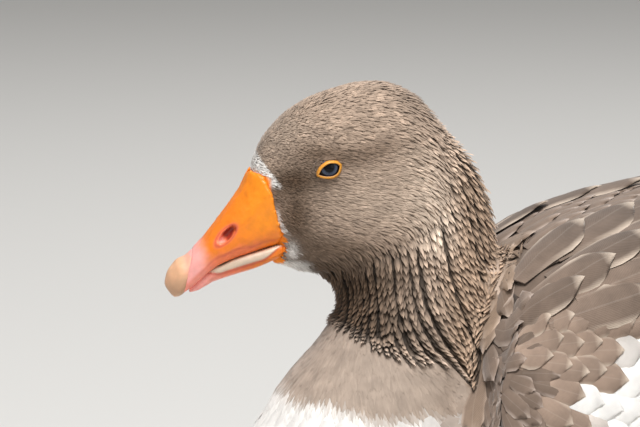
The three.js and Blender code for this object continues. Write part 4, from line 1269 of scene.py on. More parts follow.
@dataclass
class WingCoverts:
    """The scapulars and wing coverts of one side: rows of feathers that fan out from the shoulder."""

    side: Side
    shoulder_x: float = -218.0
    shoulder_z: float = 199.0
    first_ring: float = 16.0
    scapular_from: float = 16.0
    last_x: float = 78.0
    upper: float = 15.0
    lower: float = 97.0
    highest_level: float = 18.0
    lowest_level: float = 62.0
    foremost_x: float = -194.0
    furthest: float = 360.0
    fan_angle: float = 1.5
    spacing: float = 0.72
    measured_at: float = 8.0
    nearness: float = 17.0
    first_station: float = -225.0
    last_station: float = 132.0
    station_step: float = 5.0
    buff: Colour = (0.62, 0.51, 0.41)
    half_width: float = 0.58
    covert_shade: float = 1.35
    scapular_shade: float = 0.70
    shortest: float = 0.66
    longest: float = 1.3

    def chart(self) -> None:
        """Measures the flank, so that rows can be set out on it as on a flat sheet."""
        self.stations = np.arange(self.first_station, self.last_station, self.station_step)
        self.angles = np.arange(0.0, 128.0, 2.0)
        self.lengths = []
        for x in self.stations:
            points = over_trunk(x, np.radians(self.angles), np.full(len(self.angles), self.measured_at))
            run = np.concatenate([[0], np.cumsum(np.linalg.norm(np.diff(points, axis=0), axis=1))])
            level = np.interp(-self.shoulder_z, -points[:, 2], self.angles)
            level = np.clip(level, self.highest_level, self.lowest_level)
            self.lengths.append(np.interp(level, self.angles, run) - run)
        self.lengths = np.array(self.lengths)

    def angle_at(self, x: Array, up: Array) -> Array:
        """The angle round the trunk of places given by x and their distance above the shoulder's height."""
        step = (np.clip(x, self.stations[0], self.stations[-1]) - self.stations[0]) / self.station_step
        first = np.clip(step.astype(int), 0, len(self.stations) - 2)
        share = step - first
        lower = np.array([np.interp(-u, -self.lengths[i], self.angles) for u, i in zip(up, first)])
        upper = np.array([np.interp(-u, -self.lengths[i + 1], self.angles) for u, i in zip(up, first)])
        return mix(lower, upper, share)

    def point(self, x: Array, up: Array) -> Array:
        """The points of the flank, in metres, at x and at a distance above the shoulder's height."""
        angle = self.angle_at(x, up)
        point = over_trunk(x, np.radians(angle), np.full(len(x), self.measured_at)) * MM
        point[:, 1] *= -self.side
        return point

    def size(self, radius: float, scapular: bool) -> tuple[float, float]:
        """The distance between rows and the feathers' width at a distance from the shoulder."""
        far = float(smooth(radius, 12, 100))
        if scapular:
            return mix(12.0, 22.0, far), mix(17.0, 26.0, far)
        return mix(5.2, 9.5, far), mix(11.0, 17.5, far)

    def set_out(self, scapular: bool, rng: Chance) -> list[tuple[float, ...]]:
        """Sets out the roots of the scapulars above the shoulder, or of the coverts below it.

        Args:
            scapular: whether these are the scapulars.
            rng: the source of chance.

        Returns:
            Each feather's x, its distance above the shoulder's height, its heading, row distance and width.
        """
        found = []
        radius = self.first_ring
        ring = 0
        while radius < self.furthest:
            pitch, width = self.size(radius, scapular)
            turn = -self.fan_angle + (ring % 2) * 0.5 * width * self.spacing / radius
            while turn < self.fan_angle:
                turn += width * self.spacing / radius
                x = self.shoulder_x + radius * math.cos(turn)
                up = radius * math.sin(turn)
                if x < self.last_x and (up > self.scapular_from) == scapular:
                    heading = turn * mix(0.9, 0.5, float(smooth(radius, 50, 190))) + rng.normal(0, 0.05)
                    found.append((x + rng.normal(0, 0.4), up + rng.normal(0, 0.4), heading, pitch, width))
            radius += pitch
            ring += 1
        return found

    def build(self, skin: Skin, material: Material) -> None:
        """Grows the coverts and then the scapulars over them, ring by ring."""
        rng = np.random.default_rng(53 + self.side)
        self.chart()
        lower, upper = self.set_out(False, rng), self.set_out(True, rng)
        table = np.array(lower + upper)
        over = np.arange(len(table)) >= len(lower)
        roots, headings = table[:, :2], table[:, 2]
        angle = self.angle_at(roots[:, 0], roots[:, 1])
        inside = (angle > self.upper) & (angle < self.lower - 22 * smooth(roots[:, 0], -40, 70))
        inside &= roots[:, 0] > self.foremost_x
        roots, headings, pitch, width = roots[inside], headings[inside], table[inside, 3], table[inside, 4]
        over = over[inside]
        length = pitch * 1.7 + width * 0.9
        step = np.stack([np.cos(headings), np.sin(headings)], -1) * length[:, None]
        lines = [roots + step * share for share in (0.0, 0.5, 1.0)]
        wanted = [self.point(line[:, 0], line[:, 1]) for line in lines]
        found = [skin.nearest(line) for line in wanted]
        points = np.stack([hit[0] for hit in found], 1)
        normals = np.stack([hit[1] for hit in found], 1)
        near = np.max(np.linalg.norm(points - np.stack(wanted, 1), axis=2), axis=1) < self.nearness * MM
        reached = np.linalg.norm(points[:, 2] - points[:, 0], axis=1) / (length * MM)
        free = (Place(points[:, 0]).on_neck < 0.7) & near
        free &= (reached > self.shortest) & (reached < self.longest)
        points, normals, width, over = points[free], normals[free], width[free], over[free]
        colours = varied(plumage_colour(points[:, 1] * 0.5 + points[:, 2] * 0.5), rng, 0.08)
        grey = greyness(colours)
        shade = mix(self.covert_shade, self.scapular_shade, over)
        colours = mix(colours, colours * shade[:, None], grey[:, None])
        fringe = mix(colours, np.array(self.buff), grey[:, None])
        lifts = lifted(0.1 + 1.3 * over, 1.2 + 0.10 * width + 1.1 * over)
        plume = Plume(f"coverts_{self.side.label}")
        plume.grow(COVERT, Spines(points, normals), width * self.half_width * MM, lifts, colours,
                   skin.unwrapped[found[0][2][free]], rng, fringe=fringe, tilt=0.05, hug=skin)
        finish_piece(plume.build(material))


# ---------- finishes
class Nodes:
    """A material's nodes, with short calls to add and join them."""

    def __init__(self, name: str) -> None:
        """Starts a material with its shader and its output."""
        self.material = bpy.data.materials.new(name)
        self.material.use_nodes = True
        self.tree = self.material.node_tree
        self.tree.nodes.clear()
        self.shader = self.tree.nodes.new("ShaderNodeBsdfPrincipled")
        output = self.tree.nodes.new("ShaderNodeOutputMaterial")
        self.tree.links.new(self.shader.outputs["BSDF"], output.inputs["Surface"])

    def add(self, kind: str, inputs: dict | None = None, **settings: object) -> bpy.types.Node:
        """Adds a node.

        Args:
            kind: its type.
            inputs: values or sockets for its inputs, by name or by number.
            settings: its own settings.

        Returns:
            The node.
        """
        node = self.tree.nodes.new(kind)
        for key, value in settings.items():
            setattr(node, key, value)
        for key, value in (inputs or {}).items():
            self.put(node.inputs[key], value)
        return node

    def put(self, socket: Socket, value: object) -> None:
        """Sets an input, or joins it where the value is another node's socket."""
        if isinstance(value, Socket):
            self.tree.links.new(value, socket)
        else:
            socket.default_value = value

    def math(self, operation: str, a: object, b: object = 0.0) -> Socket:
        """The result of a sum on two values or sockets."""
        return self.add("ShaderNodeMath", {0: a, 1: b}, operation=operation).outputs[0]

    def blend(self, share: object, a: object, b: object, kind: str = "MIX") -> Socket:
        """The colour between two colours, or one colour laid over another in some way."""
        node = self.add("ShaderNodeMix", data_type="RGBA", blend_type=kind)
        self.put(node.inputs[0], share)
        self.put(node.inputs[6], a)
        self.put(node.inputs[7], b)
        return node.outputs[2]

    def noise(self, scale: float, detail: float) -> Socket:
        """A noise on object coordinates, in metres."""
        coordinates = self.add("ShaderNodeTexCoord").outputs["Object"]
        noise = self.add("ShaderNodeTexNoise", {"Vector": coordinates, "Scale": scale, "Detail": detail})
        return noise.outputs["Fac"]

    def mottled(self, scale: float, detail: float, low: float, high: float) -> Socket:
        """The painted colour, made darker and lighter in patches between two brightnesses."""
        patches = self.ramp(self.noise(scale, detail), [(0.3, low), (0.7, high)])
        return self.blend(1.0, self.paint(), patches, "MULTIPLY")

    def dress(self, **values: object) -> Material:
        """Sets the shader's inputs, each named with _ for its spaces, and hands the material over."""
        for name, value in values.items():
            self.put(self.shader.inputs[name.replace("_", " ")], value)
        return self.material

    def ramp(self, value: object, stops: list[tuple[float, float]]) -> Socket:
        """A grey ramp through some stops, each a place and a brightness."""
        node = self.add("ShaderNodeValToRGB", {"Fac": value})
        elements = node.color_ramp.elements
        while len(elements) < len(stops):
            elements.new(0.5)
        for element, (position, grey) in zip(elements, stops):
            element.position = position
            element.color = (grey, grey, grey, 1)
        return node.outputs[0]

    def paint(self) -> Socket:
        """The colour painted on the piece."""
        return self.add("ShaderNodeAttribute", attribute_name=PAINT).outputs["Color"]


@dataclass(frozen=True)
class PlumageFinish:
    """Soft matt feathers in the coat's painted colours, with barbs where the vanes are large."""

    name: str
    barbs: float = 0.0
    barb_shade: float = 0.09
    shaft: float = 0.06
    roughness: float = 0.78
    sheen: float = 0.25

    def make(self) -> Material:
        """Makes the material."""
        nodes = Nodes(self.name)
        colour = nodes.mottled(140.0, 4.0, 0.86, 1.1)
        if self.barbs:
            vane = nodes.add("ShaderNodeUVMap", uv_map=VANE_MAP).outputs[0]
            split = nodes.add("ShaderNodeSeparateXYZ", {0: vane})
            beside = nodes.math("ABSOLUTE", nodes.math("SUBTRACT", split.outputs[0], 0.5))
            run = nodes.math("SUBTRACT", split.outputs[1], nodes.math("MULTIPLY", beside, 0.55))
            wave = nodes.math("SINE", nodes.math("MULTIPLY", run, self.barbs))
            fine = nodes.noise(900.0, 2.0)
            streak = nodes.math("ADD", nodes.math("MULTIPLY", wave, 0.5), nodes.math("MULTIPLY", fine, 1.2))
            shade = nodes.ramp(streak, [(0.2, 1 - self.barb_shade), (1.0, 1.0)])
            colour = nodes.blend(1.0, colour, shade, "MULTIPLY")
            shaft = nodes.math("LESS_THAN", beside, 0.018)
            pale = nodes.math("MULTIPLY", shaft, nodes.math("LESS_THAN", split.outputs[1], 0.9))
            colour = nodes.blend(nodes.math("MULTIPLY", pale, self.shaft), colour, (0.75, 0.68, 0.6, 1))
            bump = nodes.add("ShaderNodeBump", {"Height": wave, "Strength": 0.18, "Distance": 0.0004})
            nodes.dress(Normal=bump.outputs[0])
        return nodes.dress(Base_Color=colour, Roughness=self.roughness, Specular_IOR_Level=0.25,
                           Sheen_Weight=self.sheen, Sheen_Roughness=0.4)


@dataclass(frozen=True)
class PlainFinish:
    """An even matt finish for the studio."""

    name: str
    colour: Colour
    roughness: float = 0.9

    def make(self) -> Material:
        """Makes the material."""
        return Nodes(self.name).dress(Base_Color=(*self.colour, 1), Roughness=self.roughness)


@dataclass(frozen=True)
class HornFinish:
    """Smooth horn or bare skin in its painted colours, with fine pores and a soft gloss."""

    name: str
    roughness: float = 0.42
    pore_scale: float = 1500.0
    pore_depth: float = 0.12
    coat: float = 0.15
    bleed: float = 0.12

    def make(self) -> Material:
        """Makes the material."""
        nodes = Nodes(self.name)
        pores = nodes.noise(self.pore_scale, 3.0)
        bump = nodes.add("ShaderNodeBump", {"Height": pores, "Strength": self.pore_depth, "Distance": 0.0005})
        return nodes.dress(Base_Color=nodes.mottled(260.0, 4.0, 0.9, 1.06), Normal=bump.outputs[0],
                           Roughness=self.roughness, Coat_Weight=self.coat, Coat_Roughness=0.3,
                           Subsurface_Weight=self.bleed, Subsurface_Radius=(0.002, 0.0008, 0.0004))


@dataclass(frozen=True)
class EyeFinish:
    """A wet eye in its painted colours."""

    name: str

    def make(self) -> Material:
        """Makes the material."""
        nodes = Nodes(self.name)
        return nodes.dress(Base_Color=nodes.mottled(2600.0, 2.0, 0.8, 1.15), Roughness=0.25,
                           Specular_IOR_Level=0.02, Coat_Weight=0.25, Coat_Roughness=0.03)


# ---------- bill, eyes, lids, feet
def jolt(points: Array, scale: float) -> Array:
    """A finer uneven pattern than mottle, between about -1 and 1."""
    return 0.6 * mottle(points, scale) + 0.4 * mottle(points[:, [2, 0, 1]] + 0.013, scale * 0.43)


@dataclass
class Bill:
    """The bill: orange skin over both halves, a pale nail, bare nostrils and an ivory, toothed edge."""

    voxel: float = 0.55
    tooth: float = 1.2
    closed: float = 0.8
    root_flare: float = 1.2
    root_sink: float = 1.3
    jaw_depth: float = 1.9
    orange: Colour = (0.88, 0.215, 0.008)
    amber: Colour = (0.90, 0.27, 0.006)
    salmon: Colour = (0.94, 0.20, 0.08)
    pink: Colour = (0.96, 0.42, 0.38)
    red: Colour = (0.62, 0.09, 0.045)
    ivory: Colour = (0.72, 0.56, 0.43)
    nail: Colour = (0.72, 0.41, 0.24)
    # The last two colours are painted shade: in the gap between the halves, and inside the nostril.
    dark: Colour = (0.09, 0.03, 0.016)
    nostril_shade: Colour = (0.28, 0.02, 0.012)

    def __post_init__(self) -> None:
        """Keeps the lines that the bill's colours follow."""
        self.edge = Profile([
            (60, 243.6), (63.1, 241.6), (69.4, 239.7), (77.4, 237.7), (85.4, 235.4), (93.3, 232.6),
            (97.7, 229.4), (104.4, 223.3), (109.1, 218.7), (113, 216.7),
        ])
        self.jaw = Profile([
            (62.9, 234.1, 241), (69.3, 232.5, 239), (77.2, 230.2, 236.6), (85.2, 227.4, 234.2),
            (93.2, 225.1, 230.8), (101.2, 222.4, 225.4), (108, 218.6, 219.8),
        ])

    def teeth(self, place: Place) -> Array:
        """The fine waves along the bill's cutting edges, from 0 to 1."""
        return 0.5 + 0.5 * np.sin(2 * math.pi * place.forward / self.tooth)

    def build(self, skin: Skin, material: Material) -> None:
        """Makes both halves and the nail."""
        self.build_upper(skin, material)
        self.build_nail(material)
        self.build_lower(material)

    def flare(self, skin: Skin, points: Array, normals: Array) -> Array:
        """Widens the bill softly where it runs into the face.

        Args:
            skin: the skin.
            points: the bill's points, in metres.
            normals: the directions that they face.

        Returns:
            The points in their new places.
        """
        near, facing, _ = skin.nearest(points)
        high = np.sum((points - near) * facing, axis=1) / MM
        close = np.linalg.norm(points - near, axis=1) < 8 * MM
        beside = smooth(np.abs(Place(points).right), 2.5, 7.0)
        return points + normals * (self.root_flare * smooth(high, 4.0, 0.0) * close * beside * MM)[:, None]

    def build_upper(self, skin: Skin, material: Material) -> None:
        """Makes the upper half."""
        piece = shaped("bill_upper_skin", ["bill_upper"], self.voxel, 22)
        points, normals = surface_of(piece)
        place = Place(points)
        over_edge = place.z - self.edge.at(place.forward)[:, 0]
        points[:, 2] -= self.closed * smooth(over_edge, 2.5, 0.5) * MM
        points = self.flare(skin, points, normals)
        crease = np.exp(-(((over_edge - 3.6 + 0.5 * np.sin(place.forward * 0.5)) / 0.7) ** 2))
        crease *= smooth(place.forward, 64, 70) * smooth(place.forward, 106, 98)
        rise = -0.25 * crease + 0.10 * jolt(points, 2.6) + 0.05 * jolt(points, 1.1)
        move_vertices(piece, points + normals * (rise * MM)[:, None])
        work = Paintwork(self.orange, len(points))
        towards = work.lay
        towards(self.amber, smooth(place.forward, 92, 72) * smooth(over_edge, 4, 14))
        low = smooth(over_edge + 1.5 * jolt(points, 3), 7.5, 2.5)
        towards(self.salmon, 0.75 * low * smooth(place.forward, 68, 82))
        towards(self.pink, smooth(place.forward + 0.35 * (236 - place.z) + 1.6 * jolt(points, 5), 96, 106))
        towards(self.salmon, 0.5 * smooth(over_edge, 6, 3) * smooth(place.forward, 92, 102))
        towards(self.red, 0.55 * crease * smooth(0.4 * jolt(points, 4) + 0.6, 0.2, 0.7))
        around = np.abs((place.forward - 91.3) * 0.72 + (place.z - 245.9) * 0.69)
        along = (place.forward - 91.2) * 0.69 - (place.z - 246.0) * 0.72
        rim = np.hypot(along / 7.0, around / 3.0)
        towards(self.salmon, 0.8 * smooth(rim, 1.3, 1.0))
        towards(self.red, 0.75 * np.exp(-(((rim - 0.95) / 0.12) ** 2)))
        towards(self.pink, 0.6 * smooth(rim, 0.8, 0.6) * smooth(along, 0.5, 3.0))
        # Painted shade inside the nostril's opening.
        towards(self.nostril_shade, 0.95 * smooth(rim, 0.85, 0.6) * smooth(along, 2.5, 0.0))
        # Painted shade in the gap along the upper half's cutting edge, waved by the teeth.
        towards(self.dark, 0.8 * smooth(over_edge - 0.45 * self.teeth(place), 0.25, -0.15))
        paint(piece, work.colour)
        finish_piece(piece, ["bill_upper"], material)

    def build_nail(self, material: Material) -> None:
        """Makes the pale nail at the bill's tip."""
        piece = shaped("bill_nail", ["nail"], 0.4, 110)
        points, normals = surface_of(piece)
        place = Place(points)
        behind = smooth(place.forward - 0.23 * (place.z - 228), 113.5, 109.6)
        points = points + normals * (mix(1.25, 0.55, behind) * MM)[:, None]
        points += behind[:, None] * np.array([1.3, 0.0, 0.1]) * MM
        move_vertices(piece, points)
        pale = smooth(place.z + 0.3 * (place.forward - 112), 217, 231)
        colour = mix(np.array(self.nail) * 0.78, np.array(self.nail) * 1.12, pale[:, None])
        root = smooth(place.forward - 0.25 * (place.z - 228), 112.2, 109.2)
        corner = smooth(1.2 * (place.z - 235.5) + 110.5 - place.forward, -0.6, 0.8)
        colour = mix(colour, np.array(self.pink), np.maximum(0.45 * root, corner)[:, None])
        paint(piece, np.minimum(colour, 0.95))
        finish_piece(piece, ["nail"], material)

    def build_lower(self, material: Material) -> None:
        """Makes the lower half with its ivory edge."""
        piece = shaped("bill_lower_skin", ["bill_lower"], 0.5, 6)
        points, normals = surface_of(piece)
        place = Place(points)
        bottom, top = self.jaw.at(place.forward).T
        rise = (place.z - bottom) / np.maximum(top - bottom, 0.5)
        tip = smooth(place.forward, 93, 101)
        points[:, 2] += (self.closed + 1.2 * tip) * smooth(rise, 0.3, 0.9) * MM
        deep = smooth(place.forward, 62, 80) * smooth(place.forward, 112, 104)
        points[:, 2] -= self.jaw_depth * smooth(rise, 0.6, 0.0) * deep * MM
        points -= normals * (self.root_sink * smooth(place.forward, 66.5, 63.0) * MM)[:, None]
        step = 0.46 + 0.55 * smooth(place.forward, 93, 104) + 0.55 * smooth(place.forward, 74, 62.5)
        strip = smooth(rise - step, -0.03, 0.05)
        line = np.exp(-(((rise - step + 0.05) / 0.07) ** 2))
        relief = 0.30 * strip - 0.22 * line + 0.05 * jolt(points, 1.4)
        move_vertices(piece, points + normals * (relief * MM)[:, None])
        work = Paintwork(self.orange, len(points))
        work.lay(self.salmon, 0.9 * smooth(place.forward, 74, 88))
        work.lay(self.pink, 0.8 * smooth(place.forward, 86, 104))
        ivory = np.array(self.ivory) * mix(0.92, 1.05, smooth(rise, 0.5, 0.9))[:, None]
        work.lay(ivory, strip)
        work.lay(self.red, 0.8 * line * smooth(place.forward, 62, 70))
        # Painted shade along the top of the lower half, in the gap under the upper half's edge.
        work.lay(self.dark, 0.85 * smooth(rise - 0.10 * self.teeth(place), 0.93, 1.0))
        paint(piece, work.colour)
        finish_piece(piece, ["bill_lower"], material)


@dataclass
class Eye:
    """One eye: a wet ball with a dark pupil in a slate-grey iris, and the orange ring of its lids."""

    side: Side
    forward: float = 42.6
    z: float = 279.0
    inset: float = 17.9
    ball: float = 7.6
    iris: float = 4.25
    pupil: float = 2.45
    bulge: float = 0.35
    gaze_up: float = 0.19
    tilt: float = -10.0
    ring_surface: float = 8.05
    ring_length: float = 11.6
    ring_height: float = 7.2
    ring_width: float = 0.62
    slate: Colour = (0.065, 0.08, 0.12)
    black: Colour = (0.006, 0.006, 0.008)
    iris_edge: Colour = (0.012, 0.008, 0.007)
    lid: Colour = (0.82, 0.36, 0.04)
    lid_shade: Colour = (0.55, 0.2, 0.03)
    lid_margin: Colour = (0.10, 0.03, 0.012)
    sink: float = 1.3
    clearance: float = 0.3
    bed_from: float = 0.78
    bed_to: float = 2.2
    bed_reach: float = 8.9

    def __post_init__(self) -> None:
        """Works out the eye's middle and its own directions."""
        self.middle = head_point(self.forward, self.side * self.inset, self.z)
        self.ahead = head_point(self.forward + 1, self.side * self.inset, self.z) - self.middle
        self.out = head_point(self.forward, self.side * (self.inset + 1), self.z) - self.middle
        self.up = np.array([0.0, 0.0, 1.0])

    def at(self, along: Array, high: Array, radius: Array) -> Array:
        """Points on a ball round the eye's middle, in metres, from places in the eye's tilted plane."""
        ahead, up = turned(along, high, -self.tilt)
        out = np.sqrt(np.maximum(radius ** 2 - ahead ** 2 - up ** 2, 0.0))
        spread = ahead[:, None] * self.ahead + up[:, None] * self.up + out[:, None] * self.out
        return (self.middle + spread) * MM

    def bed(self, points: Array) -> Array:
        """Fits the skin round the eye: just over the ball outside the lids, and behind it inside them."""
        away = points / MM - self.middle
        out = away @ self.out
        along, high = turned(away @ self.ahead, away[:, 2], self.tilt)
        ring = np.hypot(along / (self.ring_length / 2), high / (self.ring_height / 2))
        radius = np.linalg.norm(away, axis=1)
        wanted = np.where(ring < self.bed_from, self.ball - self.sink, self.ball + self.clearance)
        near = (out > 1.0) & (radius < self.bed_reach) & (ring < self.bed_to)
        moved = (self.middle + away * (wanted / np.maximum(radius, 0.1))[:, None]) * MM
        return np.where(near[:, None], moved, points)

    def complete(self, piece: Piece, work: Paintwork, node: str, material: Material) -> None:
        """Paints and finishes the ball or the lids.

        Args:
            piece: the ball or the lids.
            work: its colours.
            node: the CAD node that it replaces, without its side.
            material: its finish.
        """
        paint(piece, work.colour)
        bpy.ops.object.shade_smooth()
        edit_whole(piece, lambda: bpy.ops.mesh.normals_make_consistent(inside=False))
        finish_piece(piece, [f"{node}_{self.side.label}"], material)

    def build_ball(self, material: Material) -> None:
        """Makes the ball with a slightly bulging cornea, its pole in the middle of the pupil."""
        deselect_all()
        bpy.ops.mesh.primitive_uv_sphere_add(segments=72, ring_count=60, radius=1.0)
        piece = bpy.context.object
        piece.name = f"eyeball_{self.side.label}"
        ball = vertices_of(piece)
        axis = unit(self.out + self.gaze_up * self.up)
        level = unit(np.cross(axis, self.up))
        high = np.cross(level, axis)
        angle = np.arccos(np.clip(ball[:, 2], -1, 1)) * self.ball
        bulge = self.bulge * smooth(angle, self.iris + 1.0, 0)
        radius = (self.ball + bulge)[:, None]
        spread = ball[:, :1] * level + ball[:, 1:2] * high + ball[:, 2:] * axis
        move_vertices(piece, (self.middle + spread * radius) * MM)
        turn = np.arctan2(ball[:, 1], ball[:, 0])
        rays = 1 + 0.12 * np.sin(turn * 23) + 0.08 * np.sin(turn * 41 + 2)
        shade = mix(0.65, 1.30, smooth(angle, self.pupil, self.iris)) * rays
        work = Paintwork(self.slate, len(ball))
        work.colour *= shade[:, None]
        work.lay(self.black, smooth(angle, self.pupil + 0.25, self.pupil - 0.15))
        work.lay(self.iris_edge, smooth(angle, self.iris - 0.5, self.iris + 0.15))
        self.complete(piece, work, "eye", material)

    def almond(self, turns: Array) -> tuple[Array, Array]:
        """The lids' middle line, pointed at its lower front corner, at shares of the way round it."""
        far, high = self.ring_length / 2, self.ring_height / 2
        bends = (
            ((far, -0.45 * high), (0.66 * far, 0.80 * high), (-0.1 * far, high)),
            ((-0.1 * far, high), (-0.8 * far, 0.98 * high), (-far, 0.28 * high)),
            ((-far, 0.28 * high), (-0.86 * far, -0.9 * high), (-0.2 * far, -high)),
            ((-0.2 * far, -high), (0.5 * far, -high), (far, -0.45 * high)),
        )
        line = []
        for start, pull, end in bends:
            for t in np.linspace(0, 1, 24, endpoint=False):
                start_part, pull_part, end_part = (1 - t) ** 2, 2 * t * (1 - t), t * t
                line.append([start[k] * start_part + pull[k] * pull_part + end[k] * end_part for k in (0, 1)])
        line.append(line[0])
        line = np.array(line)
        run = np.concatenate([[0], np.cumsum(np.linalg.norm(np.diff(line, axis=0), axis=1))])
        place = (turns % 1.0) * run[-1]
        return np.interp(place, run, line[:, 0]), np.interp(place, run, line[:, 1])

    def build_lids(self, material: Material) -> None:
        """Makes the lids' ring from a torus that is drawn into the almond shape of the eye's opening."""
        deselect_all()
        tube = 0.25
        bpy.ops.mesh.primitive_torus_add(major_segments=120, minor_segments=18, major_radius=1.0,
                                         minor_radius=tube)
        piece = bpy.context.object
        piece.name = f"lids_{self.side.label}"
        ring = vertices_of(piece)
        turns = np.arctan2(ring[:, 1], ring[:, 0]) / (2 * math.pi)
        outwards = (np.hypot(ring[:, 0], ring[:, 1]) - 1.0) / tube
        raised = ring[:, 2] / tube
        along, high = self.almond(turns)
        before, after = self.almond(turns - 0.004), self.almond(turns + 0.004)
        way = unit(np.stack([after[0] - before[0], after[1] - before[1]], -1))
        side = np.stack([way[:, 1], -way[:, 0]], -1)
        centre = np.stack([along, high], -1)
        side *= np.sign(np.sum(side * centre, axis=1, keepdims=True))
        skirt = np.where(outwards > 0, 1.5, 1.0)
        wide = self.ring_width * outwards * skirt
        spread = centre + side * wide[:, None]
        height = np.where(raised > 0, 0.62, 1.3) * raised - 0.55 * np.maximum(outwards, 0) ** 2
        thick = mix(1.0, 1.25, smooth(high, 0, 4))
        points = self.at(spread[:, 0], spread[:, 1], self.ring_surface + height * thick)
        move_vertices(piece, points)
        wrinkle = 1 + 0.08 * np.sin(turns * 2 * math.pi * 31) + 0.06 * np.sin(turns * 2 * math.pi * 17 + 1)
        work = Paintwork(self.lid, len(points))
        work.colour *= wrinkle[:, None]
        work.lay(self.lid_shade, 0.6 * smooth(outwards, 0.35, 1.0))
        work.lay(self.lid_margin, smooth(outwards, -0.55, -0.95))
        self.complete(piece, work, "eyelid", material)


@dataclass
class Leg:
    """One leg as far as it shows: the scaled shank and webbed foot on the floor, and its four claws."""

    side: Side
    foot_x: float = 6.0
    foot_y: float = 76.0
    turn: float = 7.0
    scute: float = 3.4
    scute_rise: float = 0.28
    skin: Colour = (0.84, 0.25, 0.022)
    crease: Colour = (0.50, 0.12, 0.02)
    claw: Colour = (0.36, 0.26, 0.18)

    def build(self, material: Material, horn: Material) -> None:
        """Makes the foot with its shank, and the claws."""
        name = self.side.label
        limb = [f"foot_{name}", f"shank_{name}"]
        piece = shaped(f"foot_skin_{name}", limb, 0.9, 5)
        points, normals = surface_of(piece)
        x, y, z = points.T / MM
        reach = np.hypot(*turned(self.foot_x - x, self.side * y - self.foot_y, -self.turn))
        plates = (0.5 + 0.5 * np.cos(2 * math.pi * reach / self.scute)) ** 0.5
        top = smooth(normals[:, 2], 0.1, 0.6)
        grain = mottle(points, 0.9)
        toes = smooth(z, 2.4, 3.6)
        rise = self.scute_rise * (plates * toes * top + 0.45 * grain * (1 - toes * top))
        rise *= smooth(z, 0.3, 1.2)
        points = points + normals * (rise * MM)[:, None]
        points[:, 2] = np.maximum(points[:, 2], 0.0)
        move_vertices(piece, points)
        work = Paintwork(self.skin, len(points))
        work.lay(self.crease, np.clip(1 - plates * 1.2, 0, 1) * toes * top + 0.35 * np.clip(-grain, 0, 1))
        paint(piece, work.colour * mix(0.86, 1.0, smooth(z, 1.5, 5))[:, None])
        finish_piece(piece, limb, material)
        for toe in ("inner", "middle", "outer", "hind"):
            node = f"claw_{toe}_{name}"
            claw = shaped(f"horn_{node}", [node], 0.35, 3)
            points = vertices_of(claw)
            tip = smooth(points[:, 2] / MM, 0.5, 3.0)
            paint(claw, np.array(self.claw) * mix(0.7, 1.25, tip)[:, None])
            finish_piece(claw, [node], horn)


# ---------- long feathers and the tail
Surface = Callable[[Array, Array], Array]


@dataclass(frozen=True)
class FeatherRow:
    """A row of long feathers, each lying partly over the next."""

    count: int
    thick: float
    step: float
    notch: float
    up: tuple[float, float, float]
    overlap: float = 0.32
    rows: int = 22
    columns: int = 12

    def feather(self, at: Surface, which: int, rng: Chance) -> tuple[Array, Array, Array]:
        """One feather's points and their normals over the row's surface, with places across and along it.

        Args:
            at: gives the row's surface, in millimetres, from places along the feathers and across the row.
            which: the feather's number.
            rng: the source of chance.

        Returns:
            The upper points, the normals and the places.
        """
        across = np.linspace(-1, 1, self.columns + 1)
        along = np.linspace(0, 1, self.rows + 1) ** 0.85
        a, s = np.meshgrid(across, along)
        a, s = a.ravel(), s.ravel()
        narrowed = np.sqrt(np.clip(1 - smooth(s, 0.80, 1.0) * 0.93, 0, 1)) * mix(0.75, 1.0, smooth(s, 0, 0.2))
        w = 0.5 + a * narrowed * (0.5 + self.overlap)
        t = (which + w) / self.count
        reach = s * (1 - 0.35 * self.notch * (a ** 2) * s) * (1 + rng.uniform(-0.015, 0.01))
        ragged = 0.003 * np.sin(a * 37 + which) * smooth(s, 0.5, 1.0)
        reach = reach + ragged
        small = 0.01
        point = at(reach, t)
        ahead = at(reach + small, t) - at(reach - small, t)
        sideways = at(reach, t + small) - at(reach, t - small)
        normal = unit(np.cross(ahead, sideways))
        normal *= np.where(np.sum(normal * np.array(self.up), axis=1, keepdims=True) < 0, -1.0, 1.0)
        high = self.thick * 0.6 + self.step * (1.15 - w) * mix(0.7, 1.05, s)
        high = high + 0.5 * self.step * (1 - a ** 2) * 0.8
        return point + normal * high[:, None], normal, np.stack([a, s], -1)


